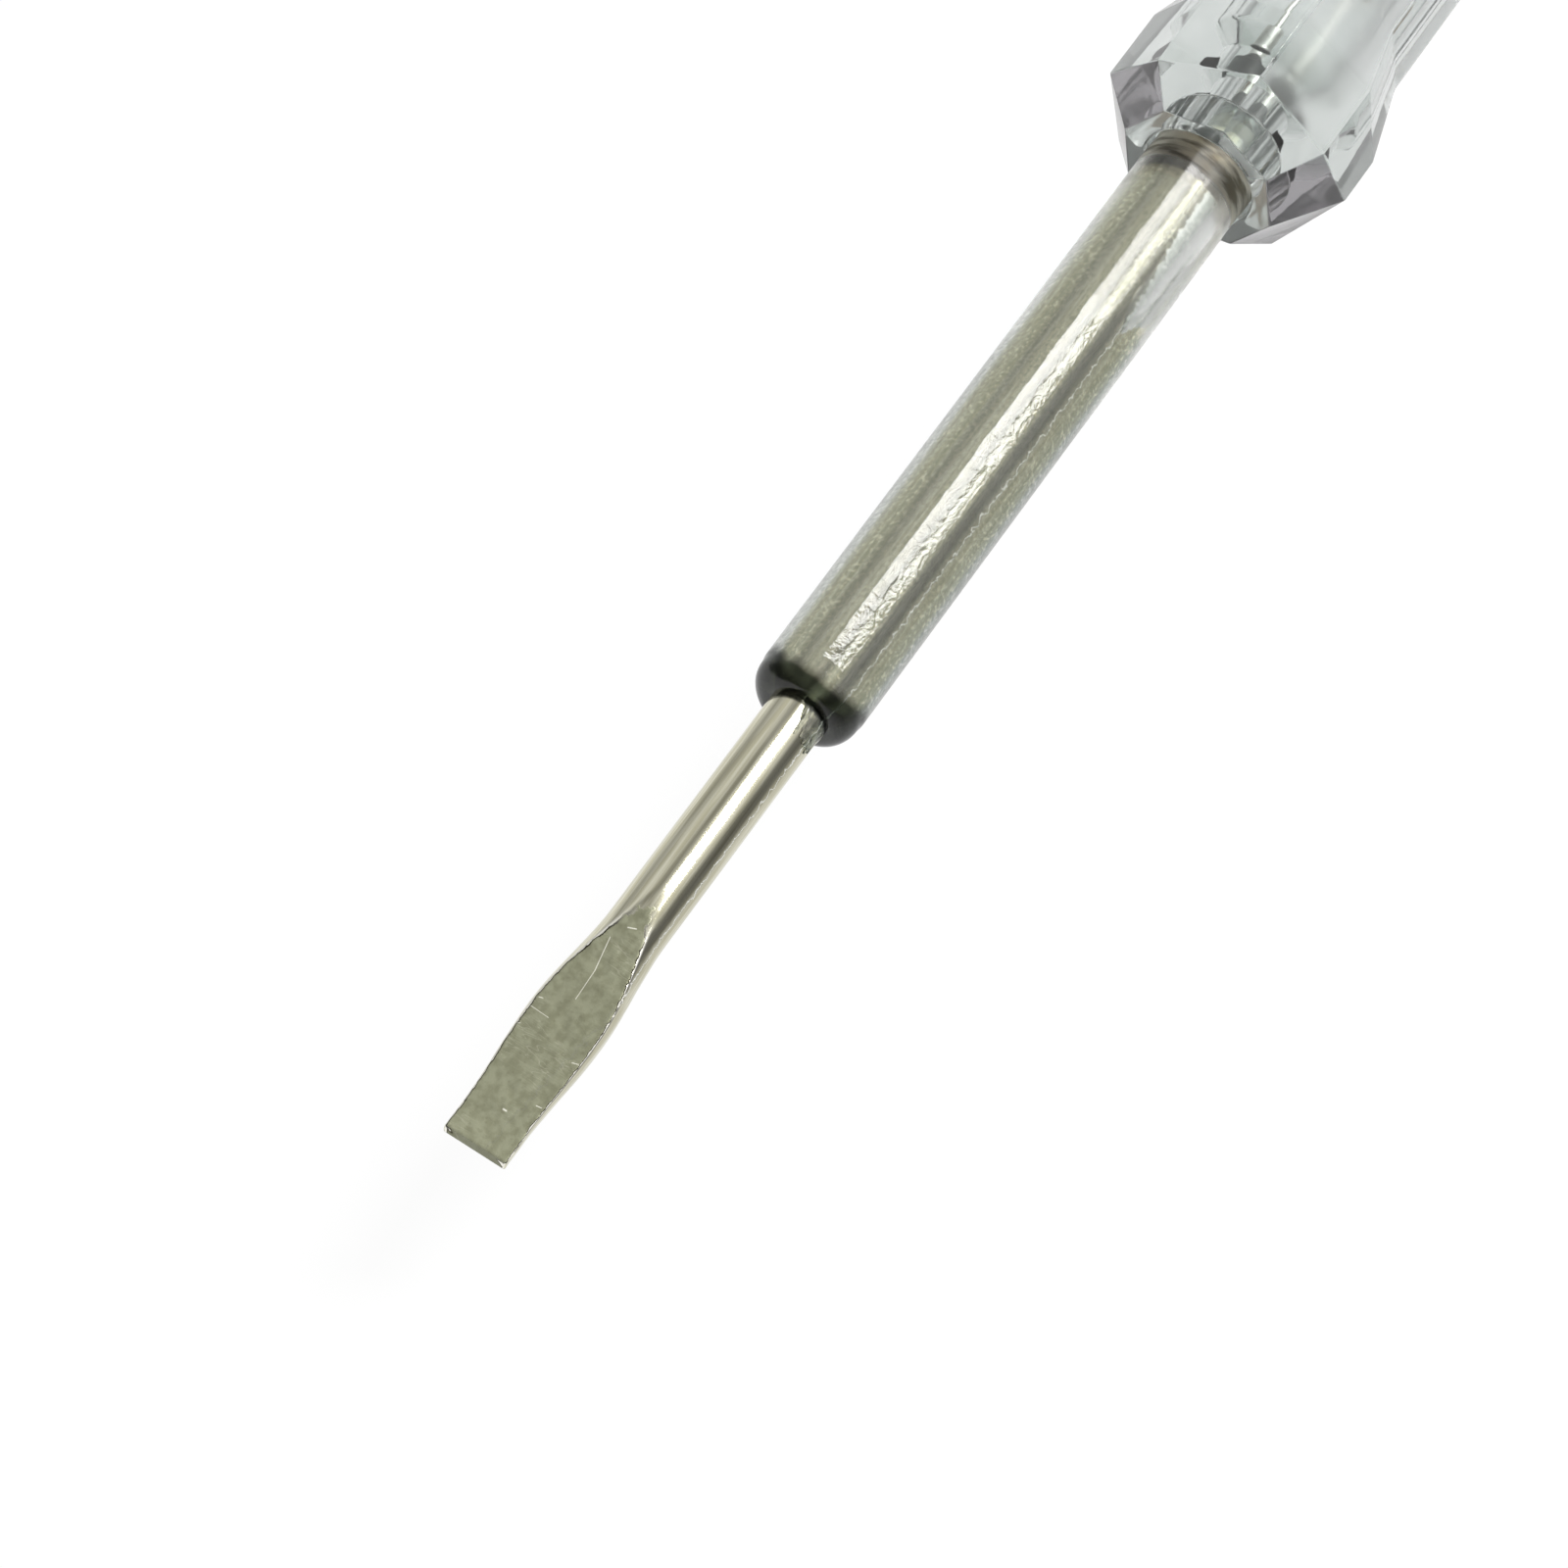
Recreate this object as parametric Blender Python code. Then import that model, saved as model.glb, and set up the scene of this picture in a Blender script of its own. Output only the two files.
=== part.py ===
# Voltage tester screwdriver: a slotted blade in a clear sleeve, held by a clear crystal-cut handle.
# The handle's bore carries a resistor, a neon lamp and a contact spring, which a screwed metal
# end cap presses together. The cap also clamps the ring of the pocket clip.
#
# Lengths are in metres, angles in degrees. Stations run along +X from the blade's tip.

import math

import bmesh
import bpy

# Blade: a steel rod, forged wide at the tip and cut flat on two sides
rod_diameter = 0.0030
rod_depth_in_handle = 0.0056
rod_end_chamfer = 0.0003
tip_width = 0.0033
tip_thickness = 0.0006
tip_straight = 0.0014
blade_width = 0.0039
blade_widest_at = 0.0076
blade_neck_at = 0.0139
flats_run_out_at = 0.0148
flats_rise_power = 1.25
ear_span = 0.0043
ear_thickness = 0.0011
ear_length = 0.0014
ear_ramp = 0.0005
ear_behind = 0.0006

# Sleeve: a clear tube over the rod, with a nose drawn in round it
sleeve_diameter = 0.0056
sleeve_front = 0.0278
sleeve_nose = 0.00125
sleeve_lip = 0.00015
sleeve_end_chamfer = 0.00015

# Handle: octagonal, with a wider crystal-cut head in front
handle_front = 0.0660
handle_length = 0.0725
front_face_diameter = 0.0088
head_diameter = 0.0131
body_diameter = 0.0106
front_flank = 0.0026
belt_length = 0.0042
rear_flank = 0.0045
# How far each front corner of the belt sits along from the even line, from +Y's round by +Z's
belt_corner_drift = (-0.0003, -0.0014, -0.0002, -0.0005, 0.0013, 0, 0, 0)
front_edge_round = 0.0004
belt_round = 0.0007
waist_round = 0.0035
rear_edge_round = 0.0005
corner_round = 0.00035
mouth_depth = 0.0032
mouth_chamfer = 0.0003
chamber_diameter = 0.0056
chamber_cone = 0.0012
thread_diameter = 0.0059
thread_engaged = 0.0076
thread_relief = 0.0014

# Resistor
resistor_diameter = 0.0034
resistor_waist_diameter = 0.0029
resistor_length = 0.0098
resistor_bulge = 0.0021
resistor_round = 0.0005
resistor_step = 0.0006
wire_diameter = 0.0006
front_wire_length = 0.0076
rear_wire_length = 0.0066

# Neon lamp
glass_diameter = 0.0042
glass_wall = 0.0004
glass_length = 0.0118
lamp_cap_diameter = 0.0050
lamp_cap_floor = 0.0006
lamp_cap_rim = 0.0021
lamp_cap_round = 0.0003
nib_diameter = 0.0016
nib_length = 0.0008
electrode_diameter = 0.0007
electrode_overlap = 0.0032
electrode_spacing = 0.0013

# Contact spring
spring_diameter = 0.0043
spring_wire = 0.00045
spring_pitch = 0.0017

# End cap
cap_diameter = 0.0094
cap_head_length = 0.0044
cap_edge_round = 0.0007
cap_front_chamfer = 0.0003
cap_face_dome = 0.0003
cup_diameter = 0.0048
cup_depth = 0.0040
cap_slot_width = 0.0012
cap_slot_depth = 0.0010

# Pocket clip
clip_thickness = 0.0005
clip_width = 0.0044
clip_tip_width = 0.0034
clip_bend = 0.0009
clip_stand_off = 0.0016
clip_bow = 0.0006
clip_root = 0.0006
clip_reach = 0.0360
clip_toe = 0.0036
clip_toe_lift = 0.0011

# Clearances
seat_gap = 0.0003
slide_fit = 0.0001
turn_fit = 0.00015
cut_overrun = 0.0010
merge_distance = 0.0000005

# Facets and turns
facet_count = 8
fine_sides = 40
wire_sides = 12
arc_steps = 5
blade_steps = 14
points_per_curl = 9

# Radii
rod_radius = rod_diameter / 2
tip_half = tip_thickness / 2
sleeve_radius = sleeve_diameter / 2
sleeve_bore_radius = rod_radius + slide_fit
head_radius = head_diameter / 2
body_radius = body_diameter / 2
mouth_radius = sleeve_radius + turn_fit
chamber_radius = chamber_diameter / 2
thread_radius = thread_diameter / 2
thread_bore_radius = thread_radius + turn_fit
wire_radius = wire_diameter / 2
glass_radius = glass_diameter / 2
lamp_cap_radius = lamp_cap_diameter / 2
nib_radius = nib_diameter / 2
spring_radius = (spring_diameter - spring_wire) / 2
cap_radius = cap_diameter / 2
cup_radius = cup_diameter / 2

# Facet geometry: corners lie half a facet's angle off the facets' middles
half_facet = math.pi / facet_count
facet_share = math.cos(half_facet)
head_apothem = head_radius * facet_share
body_apothem = body_radius * facet_share

# Stations along the tool, in the order in which the pieces press on each other
rod_end = handle_front + rod_depth_in_handle
mouth_bottom = handle_front + mouth_depth
sleeve_end = mouth_bottom - seat_gap
handle_end = handle_front + handle_length
chamber_front = rod_end + seat_gap
front_wire_at = rod_end + seat_gap
resistor_at = front_wire_at + front_wire_length + seat_gap
rear_wire_at = resistor_at + resistor_length + seat_gap
lamp_at = rear_wire_at + rear_wire_length + seat_gap
front_shoulder = lamp_at + nib_length
glass_at = front_shoulder + lamp_cap_floor + seat_gap
rear_shoulder = glass_at + glass_length + seat_gap + lamp_cap_floor
clip_at = handle_end + seat_gap
cap_head_at = clip_at + clip_thickness + seat_gap
cap_front = handle_end - thread_engaged
cup_bottom = cap_front + cup_depth
thread_bore_at = cap_front - thread_relief
cap_end = cap_head_at + cap_head_length
spring_at = rear_shoulder + seat_gap
spring_end = cup_bottom - seat_gap
overall_length = cap_end


def clear_scene():
    for old in list(bpy.data.objects):
        bpy.data.objects.remove(old, do_unlink=True)


def make_finish(name, colour, roughness, metallic, alpha=1.0):
    finish = bpy.data.materials.new(name)
    finish.use_nodes = True
    shader = finish.node_tree.nodes["Principled BSDF"]
    shader.inputs["Base Color"].default_value = (*colour, 1.0)
    shader.inputs["Roughness"].default_value = roughness
    shader.inputs["Metallic"].default_value = metallic
    shader.inputs["Alpha"].default_value = alpha
    return finish


def add_object(name, mesh, finish, parent, station=0.0):
    made = bpy.data.objects.new(name, mesh)
    bpy.context.scene.collection.objects.link(made)
    if finish:
        mesh.materials.append(finish)
    made.parent = parent
    made.location.x = station
    return made


def add_cutter(name, mesh, target, operation="DIFFERENCE"):
    cutter = add_object(name, mesh, None, target)
    cutter.hide_render = True
    cutter.display_type = "WIRE"
    cut = target.modifiers.new(name, "BOOLEAN")
    cut.operation = operation
    cut.solver = "EXACT"
    cut.object = cutter
    return cutter


def finish_mesh(name, made, smooth_angle=30):
    bmesh.ops.remove_doubles(made, verts=made.verts, dist=merge_distance)
    bmesh.ops.recalc_face_normals(made, faces=made.faces)
    mesh = bpy.data.meshes.new(name)
    made.to_mesh(mesh)
    made.free()
    mesh.shade_smooth()
    mesh.set_sharp_from_angle(angle=math.radians(smooth_angle))
    return mesh


# Outlines

def between(start, end, share):
    return start + (end - start) * share


def ease(share):
    return share * share * (3 - 2 * share)


def rounded(corners):
    # Each corner is (along, out, radius of its round); the corners become arcs
    points = []
    for i, (x, r, fillet) in enumerate(corners):
        if i == 0 or i == len(corners) - 1 or not fillet:
            points.append((x, r))
            continue
        before = (corners[i - 1][0] - x, corners[i - 1][1] - r)
        after = (corners[i + 1][0] - x, corners[i + 1][1] - r)
        far_before, far_after = math.hypot(*before), math.hypot(*after)
        before = (before[0] / far_before, before[1] / far_before)
        after = (after[0] / far_after, after[1] / far_after)
        opening = math.acos(before[0] * after[0] + before[1] * after[1])
        reach = min(fillet / math.tan(opening / 2), far_before / 2, far_after / 2)
        fillet = reach * math.tan(opening / 2)
        middle = (before[0] + after[0], before[1] + after[1])
        depth = fillet / math.sin(opening / 2) / math.hypot(*middle)
        centre = (x + middle[0] * depth, r + middle[1] * depth)
        start = math.atan2(r + before[1] * reach - centre[1], x + before[0] * reach - centre[0])
        end = math.atan2(r + after[1] * reach - centre[1], x + after[0] * reach - centre[0])
        sweep = (end - start + math.pi) % (2 * math.pi) - math.pi
        for step in range(arc_steps + 1):
            angle = start + sweep * step / arc_steps
            points.append((centre[0] + fillet * math.cos(angle), centre[1] + fillet * math.sin(angle)))
    return points


# Solids from outlines

def turned(name, outline, sides=fine_sides, closed=False):
    # A profile of (along, radius) points spun round X; closed joins its last point to its first
    made = bmesh.new()
    points = [made.verts.new((x, 0, r)) for x, r in outline]
    edges = [made.edges.new(pair) for pair in zip(points, points[1:])]
    if closed:
        edges.append(made.edges.new((points[-1], points[0])))
    bmesh.ops.spin(
        made, geom=points + edges, cent=(0, 0, 0), axis=(1, 0, 0), angle=2 * math.pi, steps=sides,
        use_merge=True,
    )
    return finish_mesh(name, made)


def prism(name, outline, width, axis):
    # A flat outline pushed out evenly to both sides: along Y for an (x, z) outline, Z for an (x, y) one
    made = bmesh.new()
    low = [made.verts.new((x, -width / 2, z) if axis == "Y" else (x, z, -width / 2)) for x, z in outline]
    face = made.faces.new(low)
    pushed = bmesh.ops.extrude_face_region(made, geom=[face])["geom"]
    shift = (0, width, 0) if axis == "Y" else (0, 0, width)
    bmesh.ops.translate(made, vec=shift, verts=[v for v in pushed if isinstance(v, bmesh.types.BMVert)])
    return finish_mesh(name, made)


def faceted(name, outline, drift):
    # An octagonal bar: (along, corner radius) sections, with its long edges rounded; drift tells how
    # far a section's corner sits along the bar from the rest
    made = bmesh.new()
    rings = []
    for x, corner in outline:
        ring = []
        for facet in range(facet_count):
            turn = half_facet + 2 * half_facet * facet
            along = x + drift(x, facet)
            centre = corner - corner_round / facet_share
            for side in (-1, 0, 1):
                angle = turn + side * half_facet
                y = centre * math.cos(turn) + corner_round * math.cos(angle)
                z = centre * math.sin(turn) + corner_round * math.sin(angle)
                ring.append(made.verts.new((along, y, z)))
        rings.append(ring)
    for ring, following in zip(rings, rings[1:]):
        for i, corner in enumerate(ring):
            after = (i + 1) % len(ring)
            made.faces.new((corner, ring[after], following[after], following[i]))
    made.faces.new(rings[0])
    made.faces.new(rings[-1])
    return finish_mesh(name, made, smooth_angle=20)


def strip(name, path, widths, thickness):
    # A bent flat strip: path is its middle line of (x, z) points, with a width at each
    made = bmesh.new()
    rings = []
    for i, (x, z) in enumerate(path):
        before, after = path[max(i - 1, 0)], path[min(i + 1, len(path) - 1)]
        run, rise = after[0] - before[0], after[1] - before[1]
        length = math.hypot(run, rise)
        across = (-rise / length * thickness / 2, run / length * thickness / 2)
        half = widths[i] / 2
        ring = [
            made.verts.new((x + way * across[0], side * half, z + way * across[1]))
            for way, side in ((1, -1), (1, 1), (-1, 1), (-1, -1))
        ]
        rings.append(ring)
    for ring, following in zip(rings, rings[1:]):
        for i, corner in enumerate(ring):
            after = (i + 1) % len(ring)
            made.faces.new((corner, ring[after], following[after], following[i]))
    made.faces.new(rings[0])
    made.faces.new(rings[-1])
    return finish_mesh(name, made)


# Blade

def blade_half_width(x):
    if x <= tip_straight:
        return tip_width / 2
    if x <= blade_widest_at:
        share = (x - tip_straight) / (blade_widest_at - tip_straight)
        return between(tip_width, blade_width, ease(share)) / 2
    share = min((x - blade_widest_at) / (blade_neck_at - blade_widest_at), 1)
    return between(blade_width, rod_diameter, ease(share)) / 2


def blade_half_thickness(x):
    share = max(x, 0) / flats_run_out_at
    return between(tip_half, rod_radius, share ** flats_rise_power)


def ear_outline(clearance):
    start = rod_end - ear_behind - ear_length - clearance
    end = rod_end - ear_behind + clearance
    inside = rod_radius / 2
    out = ear_span / 2 + clearance
    upper = [(start, inside), (start + ear_ramp, out), (end - ear_ramp, out), (end, inside)]
    return upper + [(x, -y) for x, y in reversed(upper)]


def make_blade(tool, finish):
    outline = [(0, 0), (0, tip_width / 2), (tip_straight, tip_width / 2)]
    for step in range(1, blade_steps + 1):
        x = between(tip_straight, blade_neck_at, step / blade_steps)
        outline.append((x, blade_half_width(x)))
    outline += [(rod_end - rod_end_chamfer, rod_radius), (rod_end, rod_radius - rod_end_chamfer)]
    outline.append((rod_end, 0))
    blade = add_object("blade", turned("blade", outline), finish, tool)
    blade.rotation_euler.x = half_facet

    ears = prism("ears", ear_outline(0), ear_thickness, "Z")
    add_cutter("ears", ears, blade, "UNION")
    for side, name in ((1, "flat_above"), (-1, "flat_below")):
        reach = flats_run_out_at + cut_overrun
        under = [(-cut_overrun, side * blade_half_thickness(0))]
        for step in range(blade_steps + 1):
            x = reach * step / blade_steps
            under.append((x, side * blade_half_thickness(x)))
        top = side * blade_width
        flat = prism(name, under + [(reach, top), (-cut_overrun, top)], 2 * blade_width, "Y")
        add_cutter(name, flat, blade)
    return blade


# Sleeve

def make_sleeve(tool, finish):
    length = sleeve_end - sleeve_front
    lip = sleeve_bore_radius + sleeve_lip
    outline = [(0, sleeve_bore_radius)]
    for step in range(arc_steps + 1):
        turn = math.pi / 2 * step / arc_steps
        out = between(lip, sleeve_radius, math.sin(turn))
        outline.append((sleeve_nose * (1 - math.cos(turn)), out))
    outline += [(length - sleeve_end_chamfer, sleeve_radius), (length, sleeve_radius - sleeve_end_chamfer)]
    outline.append((length, sleeve_bore_radius))
    sleeve = turned("insulating_sleeve", outline, closed=True)
    return add_object("insulating_sleeve", sleeve, finish, tool, sleeve_front)


# Handle

def handle_outline():
    # The ridge that each of the eight corners follows, from the front face to the rear one
    belt_front = handle_front + front_flank
    belt_rear = belt_front + belt_length
    corners = [
        (handle_front, front_face_diameter / 2 - front_edge_round, 0),
        (handle_front + front_edge_round / 2, front_face_diameter / 2, front_edge_round),
        (belt_front, head_radius, belt_round),
        (belt_rear, head_radius, belt_round),
        (belt_rear + rear_flank, body_radius, waist_round),
        (handle_end - rear_edge_round, body_radius, 0),
        (handle_end, body_radius - rear_edge_round, 0),
    ]
    return rounded(corners)


def bore_outline():
    rod_bore_radius = rod_radius + slide_fit
    return [
        (handle_front - cut_overrun, 0),
        (handle_front - cut_overrun, mouth_radius + mouth_chamfer + cut_overrun),
        (handle_front + mouth_chamfer, mouth_radius),
        (mouth_bottom, mouth_radius),
        (mouth_bottom, rod_bore_radius),
        (chamber_front, rod_bore_radius),
        (chamber_front + chamber_cone, chamber_radius),
        (thread_bore_at, chamber_radius),
        (thread_bore_at, thread_bore_radius),
        (handle_end + cut_overrun, thread_bore_radius),
        (handle_end + cut_overrun, 0),
    ]


def belt_drift(x, corner):
    # Full at the belt's front edge, and nothing at the front face and at the belt's rear edge
    from_front = (x - handle_front) / front_flank
    from_rear = (handle_front + front_flank + belt_length - x) / belt_length
    return belt_corner_drift[corner] * max(min(from_front, from_rear, 1), 0)


def make_handle(tool, finish):
    handle = add_object("handle", faceted("handle", handle_outline(), belt_drift), finish, tool)
    add_cutter("bore", turned("bore", bore_outline()), handle)
    ears = prism("ear_slot", ear_outline(turn_fit), ear_thickness + 2 * turn_fit, "Z")
    slot = add_cutter("ear_slot", ears, handle)
    slot.rotation_euler.x = half_facet
    return handle


# Resistor

def make_resistor(tool, coat, metal):
    big, waist = resistor_diameter / 2, resistor_waist_diameter / 2
    half = [
        (0, 0, 0),
        (0, big, resistor_round),
        (resistor_bulge, big, resistor_round),
        (resistor_bulge + resistor_step, waist, resistor_round),
    ]
    other = [(resistor_length - x, r, fillet) for x, r, fillet in reversed(half)]
    body = turned("resistor_body", rounded(half + other), sides=fine_sides // 2)
    add_object("resistor_body", body, coat, tool, resistor_at)
    wires = (
        ("resistor_lead_front", front_wire_length, front_wire_at),
        ("resistor_lead_rear", rear_wire_length, rear_wire_at),
    )
    for name, length, station in wires:
        outline = [(0, 0), (0, wire_radius), (length, wire_radius), (length, 0)]
        add_object(name, turned(name, outline, sides=wire_sides), metal, tool, station)


# Neon lamp

def lamp_cap_outline():
    # From the contact nib, round the outside and the rim, to the floor inside the cup
    inside = glass_radius + turn_fit
    depth = lamp_cap_floor + lamp_cap_rim
    return rounded([
        (-nib_length, 0, 0),
        (-nib_length, nib_radius, lamp_cap_round),
        (0, nib_radius, 0),
        (0, lamp_cap_radius, lamp_cap_round),
        (depth, lamp_cap_radius, 0),
        (depth, inside, 0),
        (lamp_cap_floor, inside, 0),
        (lamp_cap_floor, 0, 0),
    ])


def make_lamp(tool, glass, metal, electrode):
    inner = glass_radius - glass_wall
    outline = [(0, inner), (0, glass_radius), (glass_length, glass_radius), (glass_length, inner)]
    tube = turned("neon_glass", outline, sides=fine_sides, closed=True)
    add_object("neon_glass", tube, glass, tool, glass_at)

    reach = (glass_length + electrode_overlap) / 2
    for name, station, turn, side in (
        ("front", front_shoulder, 0, 1),
        ("rear", rear_shoulder, math.pi, -1),
    ):
        cap = turned("neon_cap_" + name, lamp_cap_outline(), sides=fine_sides)
        made = add_object("neon_cap_" + name, cap, metal, tool, station)
        made.rotation_euler.z = turn
        start = lamp_cap_floor + seat_gap
        round_end = electrode_diameter / 4
        rod = rounded([
            (start, 0, 0),
            (start, electrode_diameter / 2, 0),
            (start + reach, electrode_diameter / 2, round_end),
            (start + reach, 0, 0),
        ])
        wire = turned("neon_electrode_" + name, rod, sides=wire_sides)
        made = add_object("neon_electrode_" + name, wire, electrode, tool, station)
        made.rotation_euler.z = turn
        made.location.z = side * electrode_spacing / 2


# Contact spring

def spring_points():
    # One helix from end to end, with a straight run of one wire diameter at each end
    start, end = spring_wire, spring_end - spring_at - spring_wire
    curls = max(round((end - start) / spring_pitch), 1)
    steps = curls * points_per_curl
    helix = []
    for step in range(steps + 1):
        turn = 2 * math.pi * step / points_per_curl
        along = between(start, end, step / steps)
        helix.append((along, spring_radius * math.cos(turn), spring_radius * math.sin(turn)))
    first, last = helix[0], helix[-1]
    return [(0, first[1], first[2]), *helix, (spring_end - spring_at, last[1], last[2])], curls


def least_gap(points, curls):
    # Between any point and those at least half a curl further along the wire
    apart = points_per_curl // 2
    least = min(
        math.dist(a, b) for i, a in enumerate(points) for b in points[i + apart:]
    )
    print(f"contact spring: {curls} curls, least gap to itself {(least - spring_wire) * 1000:.2f} mm")


def make_spring(tool, finish):
    points, curls = spring_points()
    least_gap(points, curls)
    curve = bpy.data.curves.new("contact_spring", "CURVE")
    curve.dimensions = "3D"
    curve.bevel_depth = spring_wire / 2
    curve.bevel_resolution = 1
    curve.use_fill_caps = True
    wire = curve.splines.new("POLY")
    wire.points.add(len(points) - 1)
    for point, place in zip(wire.points, points):
        point.co = (*place, 1)
    return add_object("contact_spring", curve, finish, tool, spring_at)


# End cap

def make_end_cap(tool, finish):
    # Stations here are counted from the cap's own front end
    cup = cup_bottom - cap_front
    head = cap_head_at - cap_front
    end = cap_end - cap_front
    outline = rounded([
        (cup, 0, 0),
        (cup, cup_radius, 0),
        (0, cup_radius, 0),
        (0, thread_radius - cap_front_chamfer, 0),
        (cap_front_chamfer, thread_radius, 0),
        (head, thread_radius, 0),
        (head, cap_radius - cap_front_chamfer, 0),
        (head + cap_front_chamfer, cap_radius, 0),
        (end - cap_face_dome, cap_radius, cap_edge_round),
        (end, cup_radius, 0),
        (end, 0, 0),
    ])
    cap = add_object("end_cap", turned("end_cap", outline), finish, tool, cap_front)
    floor = end - cap_slot_depth
    slot = [
        (floor, -cap_slot_width / 2),
        (floor, cap_slot_width / 2),
        (end + cut_overrun, cap_slot_width / 2),
        (end + cut_overrun, -cap_slot_width / 2),
    ]
    add_cutter("coin_slot", prism("coin_slot", slot, 2 * cap_diameter, "Z"), cap)
    return cap


# Pocket clip

def clip_line():
    # The height of the tongue's middle line over the tool's axis, at its hinge
    return body_apothem + clip_stand_off + clip_thickness / 2


def make_clip_ring(tool, finish):
    # A flat ring under the cap's head, whose tab bends forward over the body
    bore = thread_radius + turn_fit
    outline = [(0, bore), (0, cap_radius), (clip_thickness, cap_radius), (clip_thickness, bore)]
    ring = turned("clip_ring", outline, closed=True)
    made = add_object("clip_ring", ring, finish, tool, clip_at)

    middle = clip_thickness / 2
    height = clip_line()
    path = [(middle, between(bore, cap_radius, 1 / 2)), (middle, height - clip_bend)]
    for step in range(1, arc_steps + 1):
        turn = math.pi / 2 * step / arc_steps
        along = middle - clip_bend * (1 - math.cos(turn))
        path.append((along, height - clip_bend * (1 - math.sin(turn))))
    path.append((middle - clip_bend - clip_root, height))
    tab = strip("clip_tab", path, [clip_width] * len(path), clip_thickness)
    add_cutter("clip_tab", tab, made, "UNION")
    return made


def tongue_path():
    # From the hinge line forward: a shallow bow down to the contact, then the lifted toe
    drop = clip_stand_off - seat_gap
    path, widths = [], []
    for step in range(blade_steps + 1):
        share = step / blade_steps
        along = -clip_reach * share
        bow = clip_bow * math.sin(math.pi * share) - drop * ease(share)
        path.append((along, bow))
        widths.append(between(clip_width, clip_tip_width, share))
    for step in range(1, arc_steps + 1):
        share = step / arc_steps
        path.append((-clip_reach - clip_toe * share, -drop + clip_toe_lift * share * share))
        widths.append(clip_tip_width * math.sqrt(1 - share * share / 2))
    return path, widths


def make_clip_tongue(tool, finish):
    path, widths = tongue_path()
    tongue = strip("clip_tongue", path, widths, clip_thickness)
    hinge = clip_at + clip_thickness / 2 - clip_bend - clip_root - seat_gap
    made = add_object("clip_tongue", tongue, finish, tool, hinge)
    made.location.z = clip_line()
    return made


def main():
    clear_scene()
    tool = bpy.data.objects.new("tool_axis", None)
    bpy.context.scene.collection.objects.link(tool)
    tool.location = (-overall_length / 2, 0, head_apothem)

    nickel = make_finish("nickel plated steel", (0.62, 0.60, 0.50), 0.28, 1.0)
    clear_sleeve = make_finish("clear sleeve", (0.80, 0.83, 0.76), 0.08, 0.0, 0.35)
    clear_handle = make_finish("clear handle", (0.86, 0.87, 0.88), 0.06, 0.0, 0.30)
    coat = make_finish("resistor coat", (0.55, 0.40, 0.24), 0.45, 0.0)
    wire = make_finish("tinned wire", (0.72, 0.66, 0.52), 0.30, 1.0)
    glass = make_finish("lamp glass", (0.90, 0.92, 0.92), 0.03, 0.0, 0.25)
    lamp_metal = make_finish("lamp cap metal", (0.70, 0.70, 0.68), 0.30, 1.0)
    electrode = make_finish("electrode metal", (0.38, 0.38, 0.37), 0.45, 1.0)
    spring_steel = make_finish("spring steel", (0.60, 0.60, 0.58), 0.30, 1.0)
    cap_metal = make_finish("plated brass", (0.70, 0.68, 0.62), 0.22, 1.0)

    make_blade(tool, nickel)
    make_sleeve(tool, clear_sleeve)
    make_handle(tool, clear_handle)
    make_resistor(tool, coat, wire)
    make_lamp(tool, glass, lamp_metal, electrode)
    make_spring(tool, spring_steel)
    make_end_cap(tool, cap_metal)
    make_clip_ring(tool, spring_steel)
    make_clip_tongue(tool, spring_steel)


main()
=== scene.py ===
# Dresses the voltage tester screwdriver: nickel blade, clear sleeve, crystal-cut handle with its
# resistor, lamp and spring, knurled end cap and pocket clip.
# Lengths are in metres. The tool lies along X with its tip at the low end, and every outline is
# drawn as (along X, out from the tool's axis).

import math

import bmesh
import bpy
from mathutils import Matrix, Vector, noise


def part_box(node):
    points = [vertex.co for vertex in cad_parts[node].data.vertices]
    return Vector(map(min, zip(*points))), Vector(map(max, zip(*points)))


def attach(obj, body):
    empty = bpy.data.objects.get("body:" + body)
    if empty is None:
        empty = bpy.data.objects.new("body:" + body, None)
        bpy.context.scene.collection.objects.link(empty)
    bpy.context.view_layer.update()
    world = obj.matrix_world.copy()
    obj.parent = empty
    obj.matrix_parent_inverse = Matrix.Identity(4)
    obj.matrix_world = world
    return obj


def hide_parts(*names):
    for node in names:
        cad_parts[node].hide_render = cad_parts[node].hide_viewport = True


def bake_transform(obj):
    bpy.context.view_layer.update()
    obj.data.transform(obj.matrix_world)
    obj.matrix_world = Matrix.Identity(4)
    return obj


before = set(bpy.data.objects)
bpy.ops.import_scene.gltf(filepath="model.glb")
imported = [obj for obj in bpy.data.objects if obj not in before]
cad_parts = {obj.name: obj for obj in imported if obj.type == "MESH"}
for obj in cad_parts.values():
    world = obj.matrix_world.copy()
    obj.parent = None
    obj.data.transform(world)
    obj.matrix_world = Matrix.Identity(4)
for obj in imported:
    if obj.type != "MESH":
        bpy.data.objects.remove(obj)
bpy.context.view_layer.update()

mm = 0.001
degree = math.pi / 180
sleeveLow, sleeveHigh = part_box("insulating_sleeve")
axisHeight = (sleeveLow.z + sleeveHigh.z) / 2
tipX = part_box("blade")[0].x
print("frame:", len(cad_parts), "nodes, tool axis at", round(axisHeight / mm, 3), "mm")


# Camera

shot = {
    "tilt": 30.0,  # the tip leans this far towards the camera
    "lean": 26.5,  # the camera stands this far from overhead, towards -Y
    "slope": 53.46,  # the tool's angle in the picture
    "distance": 326.6 * mm,
    "lens": 162.4,
    "sensor": 36.0,
    "aimAlong": 24.44 * mm,  # the middle of the picture, from the tip
    "aimAcross": 1.43 * mm,
}


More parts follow.
